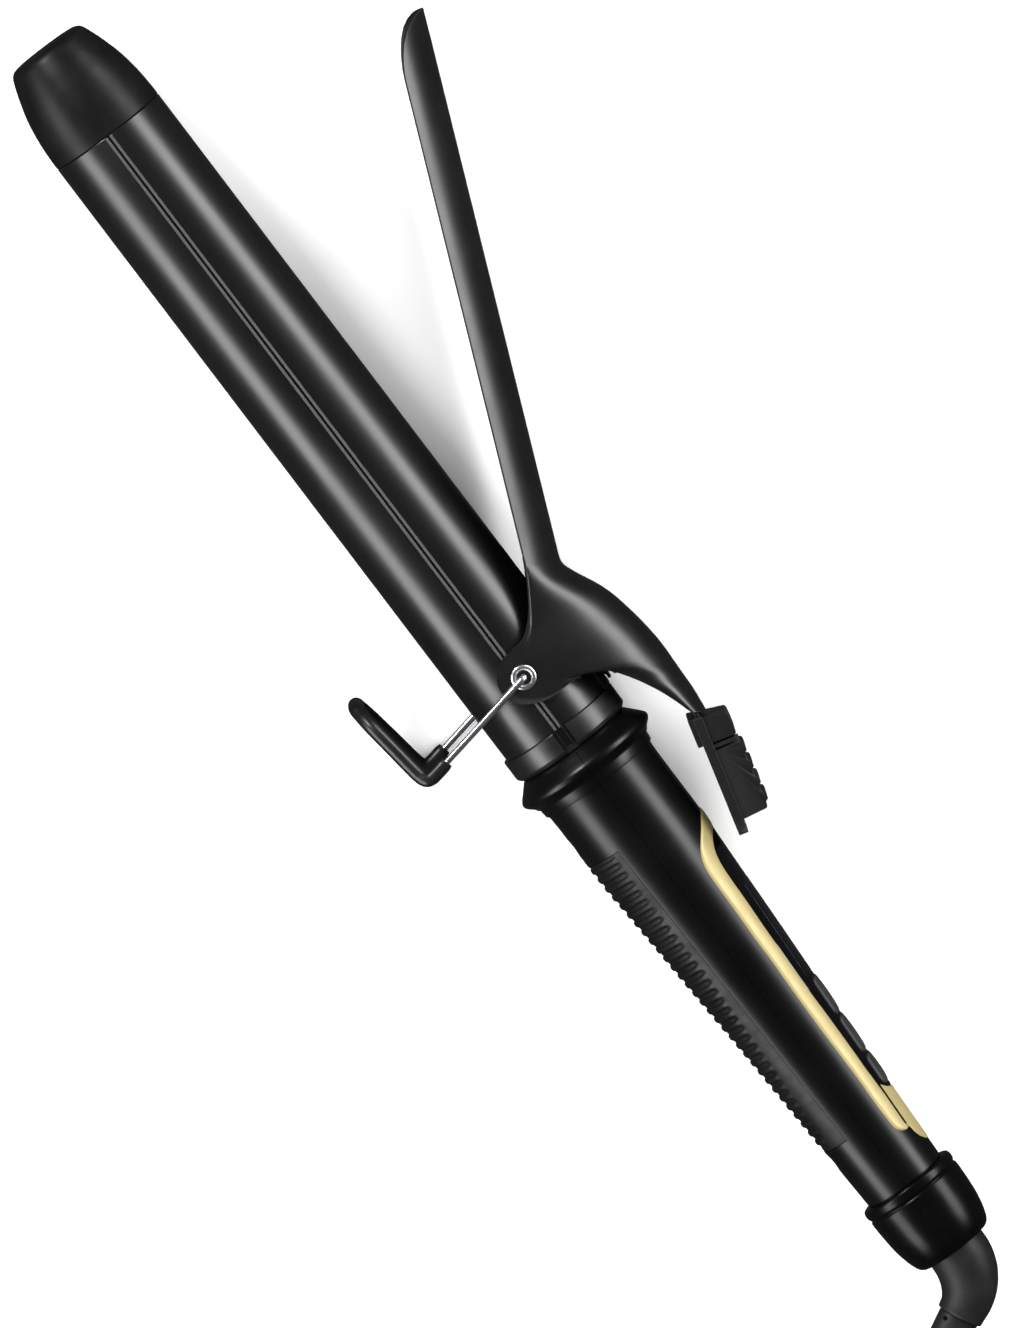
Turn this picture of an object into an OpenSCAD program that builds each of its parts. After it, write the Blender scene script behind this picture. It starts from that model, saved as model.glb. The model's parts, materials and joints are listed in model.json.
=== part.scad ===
// Curling iron: a 32 mm heated barrel with a sprung clamp and thumb lever, a fold-out wire
// stand, a two-shell handle with three keys and a display, and a swivelling mains cord.
// It lies on its side. X runs from the cool tip to the cord, +Y is the clamp's side.

/* [Barrel] */
// Outside diameter of the heated barrel
barrel_d = 32; // [31:0.1:32.1]
// Wall of the aluminium barrel tube
barrel_wall = 1.2; // [1:0.1:1.5]
// Length of the barrel tube, from the cool tip to its end in the base
barrel_len = 194; // [193:0.5:194]
// Width of the metal strip let into the barrel
strip_w = 2; // [1.5:0.1:3.5]

/* [Clamp] */
// How far the clamp stands open, in degrees from closed
clamp_open = 23.2; // [0:0.1:25]
// Length of the blade, from the pivot to its tip
clamp_len = 170; // [150:1:171]
// Sheet thickness of the clamp
clamp_t = 0.8; // [0.6:0.1:0.9]
// Half of the angle that the blade wraps round the barrel
clamp_wrap = 60; // [45:1:64]
// Width of the thumb pad
pad_w = 22; // [18:1:26]
// Length of the thumb pad
pad_len = 34; // [31:0.5:34]

/* [Handle] */
// Wall of the handle shells
shell_wall = 2; // [1.6:0.1:2.4]
// Number of grip ribs
rib_count = 32; // [20:1:32]
// Spacing of the grip ribs
rib_pitch = 2.9; // [2.5:0.1:2.9]
// How far the keys stand above the panel
key_rise = 0.7; // [0.3:0.1:1]

/* [Stand] */
// Diameter of the stand's wire
wire_d = 1.7; // [1.5:0.05:1.75]
// Outside diameter of the rubber sleeve
sleeve_d = 3.9; // [3.6:0.1:4]
// Length of each leg, from the pivot to the bend
leg_len = 36.5; // [35:0.5:38]

/* [Cord] */
// Diameter of the mains cord
cord_d = 6; // [5.5:0.1:6]
// Outside width of the coiled cord
coil_d = 90; // [88:1:90]
// Height of the coiled cord
coil_h = 18; // [16:1:20]

/* [Hidden] */
$fn = 64;

e = 0.01;
r_b = barrel_d / 2;
r_bi = r_b - barrel_wall;
// The clamp's pivot, and the radii of its sheet round the barrel
piv = [173.2, 1, 0];
r_ci = r_b + 0.3;
r_co = r_ci + clamp_t;

// The iron leans as it lies: the end of the barrel and the flange both touch the floor
flange_r = 19.8;
flange_x = 201;
lean = atan((flange_r - r_b) / flange_x);
lie_z = r_b * cos(lean);
mid = [-181.9, -20.4];

// Outside of the handle as [x, radius], from its front face to its rear neck
hp = [[195.7, 15.3], [196.6, 16.2], [199.3, 18.7], [200.2, 19.5], [201, flange_r],
  [201.8, 19.5], [202.7, 18.5], [204, 17.5], [204.2, 16.9], [206.6, 16.7], [206.8, 16.35],
  [209, 16.0], [212, 15.92], [229, 15.85], [236.7, 15.45], [245, 15.05], [254.5, 14.63],
  [267.2, 14.05], [280, 13.42], [292.7, 12.9], [305.4, 12.42], [323.2, 11.75],
  [336.2, 11.25]];
neck_r = 10.2;
neck_x1 = 343;
cap_x0 = 336.4;
cap_x1 = 357.6;

// The swivel elbow's bend, and the direction in which the cord leaves it
bend_r = 14;
bend_a = 64;
bend_x = 359;
out = [cos(bend_a), -sin(bend_a), 0];
elbow_end = [bend_x + bend_r * sin(bend_a), -bend_r * (1 - cos(bend_a)), 0] + 2.2 * out;
boot_len = 34;
boot_end = elbow_end + boot_len * out;

// Where the coiled cord lies
coil_c = [446, -75];
coil_out = coil_d / 2 - 3.8;
coil_in = coil_d / 2 - 18;

// Radius of the handle's outside at x
function hr(x) = lookup(x, hp);
// Linear place between two numbers
function mix(a, b, t) = a + (b - a) * t;
function unit(v) = v / norm(v);
// A point of the iron's own frame, as it lies
function lain(p) = [p[0] * cos(lean) - p[2] * sin(lean) + mid[0], p[1] + mid[1],
  p[0] * sin(lean) + p[2] * cos(lean) + lie_z];
function flat(a) = [for (l = a) for (v = l) v];

// Sweeps a ring of n points along the points p, with radius r[i] at each
function dirs(p) = [for (i = [0 : len(p) - 1])
  unit(p[min(i + 1, len(p) - 1)] - p[max(i - 1, 0)])];
function carried(d, i, v) = i == 0 ? v : let (w = carried(d, i - 1, v)) unit(w - (w * d[i]) * d[i]);
function ring(c, d, x, r, n) = [for (k = [0 : n - 1])
  c + r * (cos(360 * k / n) * x + sin(360 * k / n) * cross(d, x))];
function tube_points(p, r, n, side) = let (d = dirs(p))
  flat([for (i = [0 : len(p) - 1])
    ring(p[i], d[i], carried(d, i, unit(side - (side * d[0]) * d[0])), r[i], n)]);
function tube_sides(m, n, o, turn) = flat([for (i = [0 : m - 2]) [for (k = [0 : n - 1])
  let (a = o + i * n + k, b = o + i * n + (k + 1) % n)
    turn ? [a, a + n, b + n, b] : [a, b, b + n, a + n]]]);
module tube(p, r, n, side) {
  m = len(p);
  polyhedron(points = tube_points(p, r, n, side), convexity = 6,
    faces = concat([[for (k = [0 : n - 1]) k]], tube_sides(m, n, 0, true),
      [[for (k = [n - 1 : -1 : 0]) (m - 1) * n + k]]));
}
// The same with a hole of radius q along it
module pipe(p, r, q, n, side) {
  m = len(p);
  polyhedron(points = concat(tube_points(p, r, n, side), tube_points(p, q, n, side)),
    convexity = 6, faces = concat(tube_sides(m, n, 0, true), tube_sides(m, n, m * n, false),
      [for (k = [0 : n - 1]) [k, (k + 1) % n, m * n + (k + 1) % n, m * n + k]],
      [for (k = [0 : n - 1]) let (a = (m - 1) * n) [a + k, m * n + a + k,
        m * n + a + (k + 1) % n, a + (k + 1) % n]]));
}
// A smooth curve through the points p, with k steps between each two
function spline_at(a, b, c, d, t) = 0.5 * (2 * b + (c - a) * t + (2 * a - 5 * b + 4 * c - d) * t * t
  + (3 * b - a - 3 * c + d) * t * t * t);
function spline(p, k) = let (n = len(p)) concat([for (i = [0 : n - 2]) for (j = [0 : k - 1])
  spline_at(p[max(i - 1, 0)], p[i], p[i + 1], p[min(i + 2, n - 1)], j / k)], [p[n - 1]]);

module lie() translate([mid[0], mid[1], lie_z]) rotate([0, -lean, 0]) children();
module on_floor() translate([mid[0], mid[1], 0]) children();
module along_x() rotate([0, 90, 0]) children();
// Solid of revolution about X from [x, radius] points
module turned(p, fn = 96) along_x() rotate_extrude($fn = fn)
  polygon([for (q = p) [q[1], q[0]]]);
module turned_part(p, from, angle, fn = 96) along_x() rotate([0, 0, from])
  rotate_extrude(angle = angle, $fn = fn) polygon([for (q = p) [q[1], q[0]]]);
module rod_x(x0, x1, r) translate([x0, 0, 0]) along_x() cylinder(h = x1 - x0, r = r);
module tube_x(x0, x1, ri, ro) difference() {
  rod_x(x0, x1, ro);
  rod_x(x0 - 1, x1 + 1, ri);
}
module clamp_frame() translate(piv) rotate([0, 0, -clamp_open]) children();

// ---- barrel and heater ----

module cool_tip() color([0.09, 0.09, 0.09]) lie() difference() {
  turned([[-26.7, 0], [-26.65, 5], [-26.4, 8.4], [-25.8, 10], [-24.7, 11.15],
    [-22.9, 12], [-20.4, 12.9], [-17.8, 13.7], [-15.3, 14.4], [-12.7, 14.95],
    [-10.2, 15.35], [-7.6, 15.65], [-5.1, 15.85], [-2.5, 15.96], [0, r_b], [0, r_bi - 0.05],
    [9, r_bi - 0.05], [9, 12.6], [-3, 12.6], [-17, 10.6], [-23.5, 8.4], [-23.7, 0]]);
  for (a = [0, 90]) translate([8, 0, 0]) rotate([a, 0, 0]) cube([6, 3, 40], center = true);
}

module barrel() color([0.13, 0.13, 0.14]) lie() difference() {
  tube_x(0, barrel_len, r_bi, r_b);
  intersection() {
    tube_x(-1, 189.2, r_b - 0.45, r_b + 1);
    translate([-2, -strip_w / 2, 8]) cube([192, strip_w, 12]);
  }
  translate(piv) cylinder(h = 40, r = 2.21, center = true);
}

module barrel_strip() color([0.5, 0.5, 0.5]) lie() difference() {
  intersection() {
    tube_x(0.1, 189, r_b - 0.45, r_b);
    translate([0, -strip_w / 2, 8]) cube([189, strip_w, 12]);
  }
  translate(piv) cylinder(h = 40, r = 2.3, center = true);
}

module heater_block() {
  difference() {
    rod_x(22, 132, r_bi - 0.08);
    rod_x(21, 133, r_bi - 1.7);
    translate([21, -20, -20]) cube([112, 40, 21.35]);
  }
  intersection() {
    translate([22, -13.2, 1.35]) cube([105, 26.4, 1.6]);
    rod_x(21, 133, r_bi - 1.4);
  }
}
module heater_block_upper() color("silver") lie() heater_block();
module heater_block_lower() color("silver") lie() mirror([0, 0, 1]) heater_block();
module ptc_heater() color([0.75, 0.45, 0.2]) lie()
  translate([27, -8, -1.33]) cube([100, 16, 2.66]);
module heat_sensor() color([0.85, 0.85, 0.75]) lie() translate([0, 9.2, 4.2]) {
  rod_x(112, 124, 1.2);
  rod_x(124, 131, 0.5);
}
module heater_leads() color([0.9, 0.9, 0.88]) lie() for (m = [0, 1]) mirror([0, 0, m]) {
  translate([0, -5.5, 1]) rod_x(127.05, 129.5, 0.85);
  translate([129.5, -5.5, 1]) sphere(r = 0.85, $fn = 24);
  translate([129.5, -5.5, 1]) cylinder(h = 4.4, r = 0.85, $fn = 24);
  translate([129.5, -5.5, 5.4]) sphere(r = 0.85, $fn = 24);
  translate([0, -5.5, 5.4]) rod_x(129.5, 242, 0.85);
  translate([242, -5.5, 5.4]) sphere(r = 0.85, $fn = 24);
  translate([242, -5.5, 5.4]) rotate([-90, 0, 0]) cylinder(h = 10.5, r = 0.85, $fn = 24);
}

// Sleeve across the inside of the barrel that both eyelets are driven into
module pivot_sleeve() color("silver") lie() translate(piv) difference() {
  cylinder(h = 2 * (r_bi - 0.7), r = 3.2, center = true);
  cylinder(h = 40, r = 2.2, center = true);
}
eyelet_in = 0.92;
// Flared eyelets: the clamp's ears turn on them, and the stand's wire turns inside them
module eyelet() rotate_extrude($fn = 48) polygon([[eyelet_in, 9], [2.2, 9], [2.2, 17.14],
  [3.0, 17.14], [3.22, 17.22], [3.22, 17.32], [3.0, 17.42], [2.3, 17.42], [1.75, 17.1],
  [1.6, 16], [1.6, 14.8], [eyelet_in, 14.8]]);
module pivot_eyelets() color([0.85, 0.85, 0.86]) lie() translate(piv) {
  eyelet();
  mirror([0, 0, 1]) eyelet();
}

// Heat-proof base: a collar round the barrel's end, a socket inside it and a tail in the handle
module barrel_base() color([0.1, 0.1, 0.1]) lie() difference() {
  turned([[189, r_b + 0.03], [189, r_b + 0.65], [189.25, r_b + 0.9], [194.6, r_b + 0.9],
    [195.6, r_b], [195.6, 12.95], [199.1, 12.95], [199.1, 11.8], [202, 11.8],
    [202, 12.95], [207, 12.95], [207, 10.6], [180, 10.6], [180, r_bi - 0.03],
    [barrel_len + 0.05, r_bi - 0.03], [barrel_len + 0.05, r_b + 0.03]]);
  translate([188, -2, 15.3]) cube([6.2, 4, 4]);
}

module spring_seat() color([0.1, 0.1, 0.1]) lie() {
  turned_part([[178.4, r_b + 0.02], [178.4, r_b + 1.1], [188.9, r_b + 1.1],
    [188.9, r_b + 0.02]], 66, 48);
  translate([183.6, 16.6, 0]) rotate([-90, 0, 0]) cylinder(h = 2, r = 3);
}
module clamp_spring() color("silver") lie() translate([183.6, 17.25, 0]) tube(
  [for (i = [0 : 66]) let (t = i / 66) [4 * cos(360 * 5.5 * t),
    0.55 + 13.3 * (t < 0.12 ? t * 0.6 : t > 0.88 ? 1 - (1 - t) * 0.6 : mix(0.072, 0.928,
      (t - 0.12) / 0.76)), 4 * sin(360 * 5.5 * t)]],
  [for (i = [0 : 66]) 0.5], 8, [0, 1, 0]);

// ---- clamp ----

// Sections of the lever's vault, in the clamp's frame: crown point, foot point, half width,
// and how far it has left the barrel's own curve
vault = [[[-26.9, 16.1], [-26.9, 7.55], 14.8, 0], [[-24.6, 17], [-23.8, 7.1], 15.2, 0.35],
  [[-21.3, 19.8], [-18.5, 6.4], 15.7, 0.8], [[-16, 24.9], [-12.4, 5.6], 16.2],
  [[-8, 30.8], [-4.6, 5.4], 16.7], [[-1, 34.8], [2.2, 8.6], 16.8],
  [[3.6, 36.9], [2.9, 14], 15.8], [[7.6, 38.4], [3.6, 20.6], 14.4],
  [[11.2, 39.8], [6.8, 26.1], 13.1], [[14.6, 41.1], [11.2, 31.5], 12.0],
  [[17.8, 42.1], [15.3, 35.5], 11.1], [[20.6, 42.9], [19.4, 38.9], 10.4]];
vault_n = 20;
// Where the ears turn flat, from the saddle's curve
ear_x0 = -6;
// One skin of the vault: g is how far it lies inside the outer skin
function arch_row(s, g) = let (u = unit(s[0] - s[1]), h = norm(s[0] - s[1]) - g, w = s[2] - g)
  [for (k = [0 : vault_n]) let (a = 180 * k / vault_n, c = cos(a), v = sin(a),
    b = 29.2 + 121.6 * k / vault_n, t = s[3] == undef ? 1 : s[3], r = r_co + 0.06 - g,
    y = s[1][1] + u[1] * h * pow(v, 0.9), x = s[1][0] + u[0] * h * pow(v, 0.9))
      [mix(s[0][0], x, t), mix(r * sin(b) - piv[1], y, t),
        mix(r * cos(b), w * sign(c) * pow(abs(c), 0.8), t)]];
module lever() {
  m = len(vault);
  n = vault_n + 1;
  pts = concat(flat([for (s = vault) arch_row(s, 0)]),
    flat([for (s = vault) arch_row(s, clamp_t + 0.2)]));
  o = m * n;
  polyhedron(points = pts, convexity = 8, faces = concat(
    flat([for (i = [0 : m - 2]) flat([for (k = [0 : n - 2]) let (a = i * n + k)
      [[a, a + 1, a + n + 1], [a, a + n + 1, a + n],
        [o + a, o + a + n + 1, o + a + 1], [o + a, o + a + n, o + a + n + 1]]])]),
    flat([for (i = [0 : m - 2]) let (a = i * n, b = i * n + n - 1)
      [[a, a + n, o + a + n, o + a], [b, o + b, o + b + n, b + n]]]),
    [for (k = [0 : n - 2]) [k, o + k, o + k + 1, k + 1]],
    [for (k = [0 : n - 2]) let (a = (m - 1) * n + k) [a, a + 1, o + a + 1, o + a]]));
}
module pad_frame() translate([19.9, 38.7, 0]) rotate([0, 0, 8.2]) children();
module clamp() color([0.07, 0.07, 0.07]) lie() clamp_frame() difference() {
  union() {
    // blade
    difference() {
      translate([0, -piv[1], 0]) turned_part([[-clamp_len, r_ci], [-clamp_len, r_co],
        [-26.5, r_co], [-26.5, r_ci]], 90 - clamp_wrap, 2 * clamp_wrap);
      translate([-clamp_len, 0, -20]) linear_extrude(40) polygon([[-1, 17], [0, 15.9],
        [0.9, 13.9], [2.3, 12.1], [4.4, 10.4], [7.4, 9], [11, 8], [15, 7.4], [19, 7.1],
        [19, 0], [-1, 0]]);
    }
    // saddle, and the flat ears beside the pivot
    intersection() {
      union() {
        translate([0, -piv[1], 0]) turned_part([[-25.6, r_ci], [-25.6, r_co],
          [ear_x0 + e, r_co], [ear_x0 + e, r_ci]], 0, 180);
        for (s = [-1, 1]) translate([ear_x0, -9, s * (r_ci + r_co) / 2 - clamp_t / 2])
          cube([8 - ear_x0, 20, clamp_t]);
      }
      translate([0, 0, -20]) linear_extrude(40) union() {
        circle(r = 6.9);
        polygon([[-26.7, 6.75], [-21, 6.5], [-16.4, 5.8], [-11.6, 3.9], [-8.4, 1.2],
          [-6.6, -2], [0, -3], [6.7, -1.6], [7.1, 3], [5.8, 7.4], [3.9, 10.6], [-26.7, 10.6]]);
      }
    }
    lever();
    // tongue that the thumb pad is pushed on to
    pad_frame() translate([-1.5, 0.8, -8.5]) cube([21, 1.2, 17]);
  }
  cylinder(h = 40, r = 2.25, center = true);
}

module thumb_pad() color([0.06, 0.06, 0.06]) lie() clamp_frame() pad_frame() difference() {
  union() {
    translate([1.5, 0, -pad_w / 2]) cube([pad_len - 1.5, 2.5, pad_w]);
    translate([1.5, -1.4, -pad_w / 2 + 0.6]) cube([7, 10.4, pad_w - 1.2]);
    translate([8.4, 2.4, -pad_w / 2 + 1.1]) cube([2.2, 5.8, pad_w - 2.2]);
    translate([0, 0, -pad_w / 2 + 0.6]) linear_extrude(pad_w - 1.2)
      polygon([[10.4, 2.4], [10.4, 9], [28.4, 9.6], [29.6, 8.4], [29.6, 2.4]]);
    for (k = [0 : 3]) translate([13.5 + 4.6 * k, 9.15 + 0.15 * k, -pad_w / 2 + 2])
      cylinder(h = pad_w - 4, r = 0.8, $fn = 24);
  }
  translate([-2, 0.75, -8.55]) cube([21.6, 1.3, 17.1]);
}

// ---- stand ----

// The wire's centre line on one side, from the eyelet to the middle of the foot
leg_dir = [cos(79.3), -sin(79.3)];
foot_dir = [-cos(7.8), -sin(7.8)];
foot_len = 25.3;
foot_flat = 18;
z_leg = 18.4;
z_bend = 17.1;
knee = leg_len * leg_dir;
half_wire = concat([[0, 0, 16.9], [0, 0, 17.5], [0, 0, 18], [0.13, -0.8, z_leg]],
  [for (t = [2, 10, 20, 29, 33]) [t * leg_dir[0], t * leg_dir[1],
    mix(z_leg, z_bend, t / leg_len)]],
  [[(leg_len - 1.7) * leg_dir[0] - 0.15, (leg_len - 1.7) * leg_dir[1], z_bend + 0.05]],
  [[knee[0] - 1.1, knee[1] + 0.35, z_bend - 0.1]],
  [for (t = [3.6, 11, 18, 21.2, 23.5, 24.8]) let (s = max(0, t - foot_flat) / 6.8)
    [knee[0] + t * foot_dir[0], knee[1] + t * foot_dir[1],
      mix(z_bend - 0.15, 13.4, min(t, foot_flat) / foot_flat) - 4.6 * s * s - 1.2 * s]],
  [[knee[0] + foot_len * foot_dir[0], knee[1] + foot_len * foot_dir[1], 3.4]]);
wire_path = concat(half_wire, [for (i = [len(half_wire) - 1 : -1 : 0])
  [half_wire[i][0], half_wire[i][1], -half_wire[i][2]]]);
sleeve_from = 7;
sleeve_path = [for (i = [sleeve_from : len(wire_path) - 1 - sleeve_from]) wire_path[i]];
module stand_wire() color([0.8, 0.8, 0.82]) lie() translate(piv) {
  tube(wire_path, [for (p = wire_path) wire_d / 2 - (abs(p[2]) < 18 && p[1] > -1 ? 0.06 : 0)],
    12, [1, 0, 0]);
  for (s = [-1, 1]) translate([0, 0, s > 0 ? 10 : -17.8]) cylinder(h = 7.8, r = wire_d / 2);
}
module stand_sleeve() color([0.05, 0.05, 0.05]) lie() translate(piv)
  pipe(sleeve_path, [for (p = sleeve_path) sleeve_d / 2],
    [for (p = sleeve_path) wire_d / 2 + 0.1], 12, [0, 1, 0]);

// ---- handle ----

screws = [217, 321.2];
// Outside of the handle grown by g, closed on the axis, over part of its length
function grown(g, x0, x1) = concat([[x0, 0], [x0, hr(x0) + g]],
  [for (q = hp) if (q[0] > x0 && q[0] < x1) [q[0], q[1] + g]], [[x1, hr(x1) + g], [x1, 0]]);
hollow = [[207.4, 0], [207.4, 13.2], [209, 13.8], [229, 13.75 + 2 - shell_wall],
  [254.5, 14.6 - shell_wall], [280, 13.38 - shell_wall], [305.4, 12.38 - shell_wall],
  [334.5, 11.2 - shell_wall], [334.5, 8.2], [neck_x1 + 1, 8.2], [neck_x1 + 1, 0]];
module handle_solid() difference() {
  union() {
    turned(grown(0, 195.7, 336.2));
    rod_x(336, neck_x1, neck_r);
  }
  turned(hollow);
  rod_x(190, 199.3, 13);
  rod_x(199, 201.9, 11.85);
  rod_x(201.8, 207.5, 13);
}
// Plan of the trim seen from the clamp's side, as [x, half width]
trim_out = [[228.4, 0], [228.8, 2.4], [230, 5.6], [232, 8.6], [235, 11.4], [238.5, 13.3],
  [242, 14.0], [254, 13.2], [267, 12.45], [280, 11.8], [292.7, 11.2], [305.4, 10.7],
  [316, 10.2], [324, 9.85], [327.2, 9.2], [328.4, 8]];
trim_in = [[233.6, 0], [234, 2.4], [235.4, 5.6], [237.6, 8.4], [240.8, 10.4], [244.5, 11.2],
  [254, 10.6], [267, 9.75], [280, 9.0], [292.7, 8.3], [302, 7.8], [309, 7.5]];
function both(p) = concat(p, [for (i = [len(p) - 1 : -1 : 0]) [p[i][0], -p[i][1]]]);
module plan(p) rotate([-90, 0, 0]) linear_extrude(30) polygon([for (q = p) [q[0], q[1]]]);
panel_plan = both(concat([for (i = [1 : 11]) trim_in[i]],
  [[311.6, 6.7], [313.3, 4.7], [314.2, 2.3]]));
trim_plan = both([for (i = [1 : 15]) trim_out[i]]);
end_plan = both(concat([[314.5, 2.6], [313.5, 5], [311.8, 7], [309.8, 7.55], [316, 7.3]],
  [[324, 6.8], [326.6, 6.3], [328.6, 5.8], [330.3, 3.4], [330.8, 1]]));
// A skin of the handle between depths g0 and g1, over the trim's length
module skin(g0, g1) difference() {
  turned(grown(g1, 226, 333));
  turned(grown(g0, 225, 334));
}
// Front and rear end of each key, and of the display's window
keys = [[280.1, 291.4], [292.1, 303.3], [304, 313]];
key_w = 10.8;
lens_x0 = 249;
lens_x1 = 279.2;
lens_w = 13;
function key_x(i) = (keys[i][0] + keys[i][1]) / 2;
// Outline of a rounded rectangle, 2 a by 2 b, with corners of radius r
function rounded(a, b, r) = [for (q = [[1, 1, 0], [-1, 1, 90], [-1, -1, 180], [1, -1, 270]])
  for (t = [0 : 15 : 90]) [q[0] * (a - r) + r * cos(q[2] + t), q[1] * (b - r) + r * sin(q[2] + t)]];
module window(x0, x1, w, g = 0) translate([x0 - g, 4, -w / 2 - g])
  cube([x1 - x0 + 2 * g, 20, w + 2 * g]);
module key_hole(i, g = 0) translate([key_x(i), 4, 0]) rotate([-90, 0, 0])
  linear_extrude(16) polygon(rounded((keys[i][1] - keys[i][0]) / 2 + g, key_w / 2 + g, 2.5));

module handle_shell_upper() color([0.05, 0.05, 0.05]) lie() difference() {
  union() {
    intersection() {
      handle_solid();
      translate([190, 0.05, -30]) cube([160, 30, 60]);
    }
    for (x = screws) intersection() {
      translate([x, 0.05, 0]) rotate([-90, 0, 0]) cylinder(h = 16, r = 3);
      turned(grown(-0.5, 208, 336));
    }
  }
  for (x = screws) translate([x, -1, 0]) rotate([-90, 0, 0]) cylinder(h = 9.2, r = 1.42);
  intersection() {
    skin(-1.3, 2);
    union() {
      plan(trim_plan);
      plan(end_plan);
      plan(panel_plan);
    }
  }
  window(lens_x0, lens_x1, lens_w, -1);
  for (i = [0 : 2]) key_hole(i, 0.2);
}
module handle_shell_lower() color([0.05, 0.05, 0.05]) lie() difference() {
  union() {
    intersection() {
      handle_solid();
      translate([190, -30.05, -30]) cube([160, 30, 60]);
    }
    for (x = screws) intersection() {
      translate([x, -16, 0]) rotate([-90, 0, 0]) cylinder(h = 15.95, r = 3.9);
      turned(grown(-0.5, 208, 336));
    }
  }
  for (x = screws) translate([x, 0, 0]) rotate([90, 0, 0]) {
    cylinder(h = 20, r = 1.6);
    translate([0, 0, 4]) cylinder(h = 20, r = 2.9);
  }
  turned_part(concat([for (q = grown(-1.2, 223.2, 318)) if (q[1] > 1) q],
    [[318, 20], [223.2, 20]]), 205, 130);
}
module handle_screws() color([0.2, 0.2, 0.2]) lie()
  for (x = screws) translate([x, 0, 0]) rotate([-90, 0, 0]) difference() {
    union() {
      translate([0, 0, -6.2]) cylinder(h = 2.2, r = 2.75);
      translate([0, 0, -4.1]) cylinder(h = 12, r = 1.4);
    }
    translate([0, 0, -6.3]) for (a = [0, 90]) rotate([0, 0, a])
      cube([3.2, 0.7, 2.4], center = true);
  }
// Ribbed grip let into the lower shell
module grip_insert() color([0.05, 0.05, 0.05]) lie()
  turned_part(concat([[223.3, hr(223.3) - 1.15], [223.3, hr(223.3)]],
    flat([for (i = [0 : rib_count - 1]) let (x = 224 + i * rib_pitch)
      [[x, hr(x) - 0.35], [x + 0.5, hr(x) + 0.35], [x + 1.5, hr(x) + 0.35],
        [x + 2, hr(x) - 0.35]]]),
    [[317.9, hr(317.9)], [317.9, hr(317.9) - 1.15], [305.4, 11.27], [292.7, 11.75],
      [280, 12.27], [267.2, 12.9], [254.5, 13.48], [245, 13.9], [236.7, 14.3],
      [229, 14.7]]), 205.4, 129.2);

module trim_frame() color([0.87, 0.79, 0.54]) lie() intersection() {
  skin(-1.25, 0.3);
  difference() {
    plan(trim_plan);
    plan(panel_plan);
    plan(end_plan);
    translate([309.1, 0, -7.5]) cube([30, 30, 15]);
  }
}
module trim_end_plate() color([0.9, 0.8, 0.55]) lie() intersection() {
  skin(-1.25, 0.05);
  plan([for (q = end_plan) [q[0], q[1] * 0.985]]);
}
module control_panel() color([0.04, 0.04, 0.05]) lie() intersection() {
  skin(-1.25, 0.1);
  difference() {
    plan(panel_plan);
    window(lens_x0, lens_x1, lens_w, 0.02);
    for (i = [0 : 2]) key_hole(i, 0.25);
  }
}
module display_lens() color([0.1, 0.12, 0.14]) lie() intersection() {
  skin(-1.2, 0.12);
  window(lens_x0, lens_x1, lens_w);
}
module lcd_module() color([0.3, 0.36, 0.3]) lie() translate([251, 6.75, -5.3])
  cube([26, 3.2, 10.6]);
module circuit_board() color([0.1, 0.35, 0.2]) lie() difference() {
  translate([238, 5.1, -8]) cube([76, 1.6, 16]);
  for (z = [6.4, -8.4]) translate([296, 4, z]) cube([19, 4, 2]);
}
module key_switches() color([0.25, 0.25, 0.27]) lie() for (i = [0 : 2]) translate([key_x(i), 6.75, 0]) {
  translate([-2.5, 0, -2.5]) cube([5, 1.2, 5]);
  rotate([-90, 0, 0]) cylinder(h = 1.5, r = 1.2, $fn = 32);
}
// A key: its cap follows the handle's curve, and its stem reaches its switch
module key(i) lie() {
  intersection() {
    turned(grown(key_rise, 226, 333));
    translate([0, 5, 0]) key_hole(i);
  }
  translate([key_x(i), 8.85, 0]) rotate([-90, 0, 0]) cylinder(h = 1.2, r = 1.5, $fn = 32);
}
module power_button() color([0.12, 0.12, 0.13]) key(0);
module plus_button() color([0.12, 0.12, 0.13]) key(1);
module minus_button() color([0.12, 0.12, 0.13]) key(2);

// ---- swivel and cord ----

module end_cap() color([0.06, 0.06, 0.06]) lie() turned([[cap_x0, neck_r + 0.05],
  [cap_x0, 12.6], [336.8, 13.2], [337.5, 13.5], [338.8, 13.5], [339.4, 13.15],
  [339.8, 13.15], [340.4, 13.42], [344, 13.3], [348.7, 13.0], [351.8, 12.5],
  [354.2, 11.9], [356, 11.3], [357, 10.7], [cap_x1, 9.7], [cap_x1, 8.1], [352, 8.1],
  [352, 10.3], [neck_x1 + 0.3, 10.3], [neck_x1 + 0.3, neck_r + 0.05]]);
module brush_contacts() color([0.8, 0.6, 0.25]) lie() for (k = [0, 1])
  translate([329.4 + 3.6 * k, 5.15, -1.2]) {
    cube([1.6, 0.4, 2.4]);
    translate([0, 0, 2.4]) cube([1.6, 2.4, 0.4]);
  }
module slip_rings() color([0.85, 0.65, 0.3]) lie() for (k = [0, 1])
  tube_x(329 + 3.6 * k, 331.4 + 3.6 * k, 3.4, 5);
module swivel_elbow() color([0.07, 0.07, 0.07]) lie() {
  rod_x(328.2, 345, 3.39);
  rod_x(344.2, 347, 9.9);
  rod_x(346.5, bend_x + 0.1, 7.98);
  tube(concat([[bend_x, 0, 0]],
    [for (k = [1 : 9]) let (a = bend_a * k / 9) [bend_x + bend_r * sin(a),
      -bend_r * (1 - cos(a)), 0]], [elbow_end]),
    concat([7.98], [for (k = [1 : 9]) 8.3 - 0.24 * k], [6.0]), 28, [0, 0, 1]);
}
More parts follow.
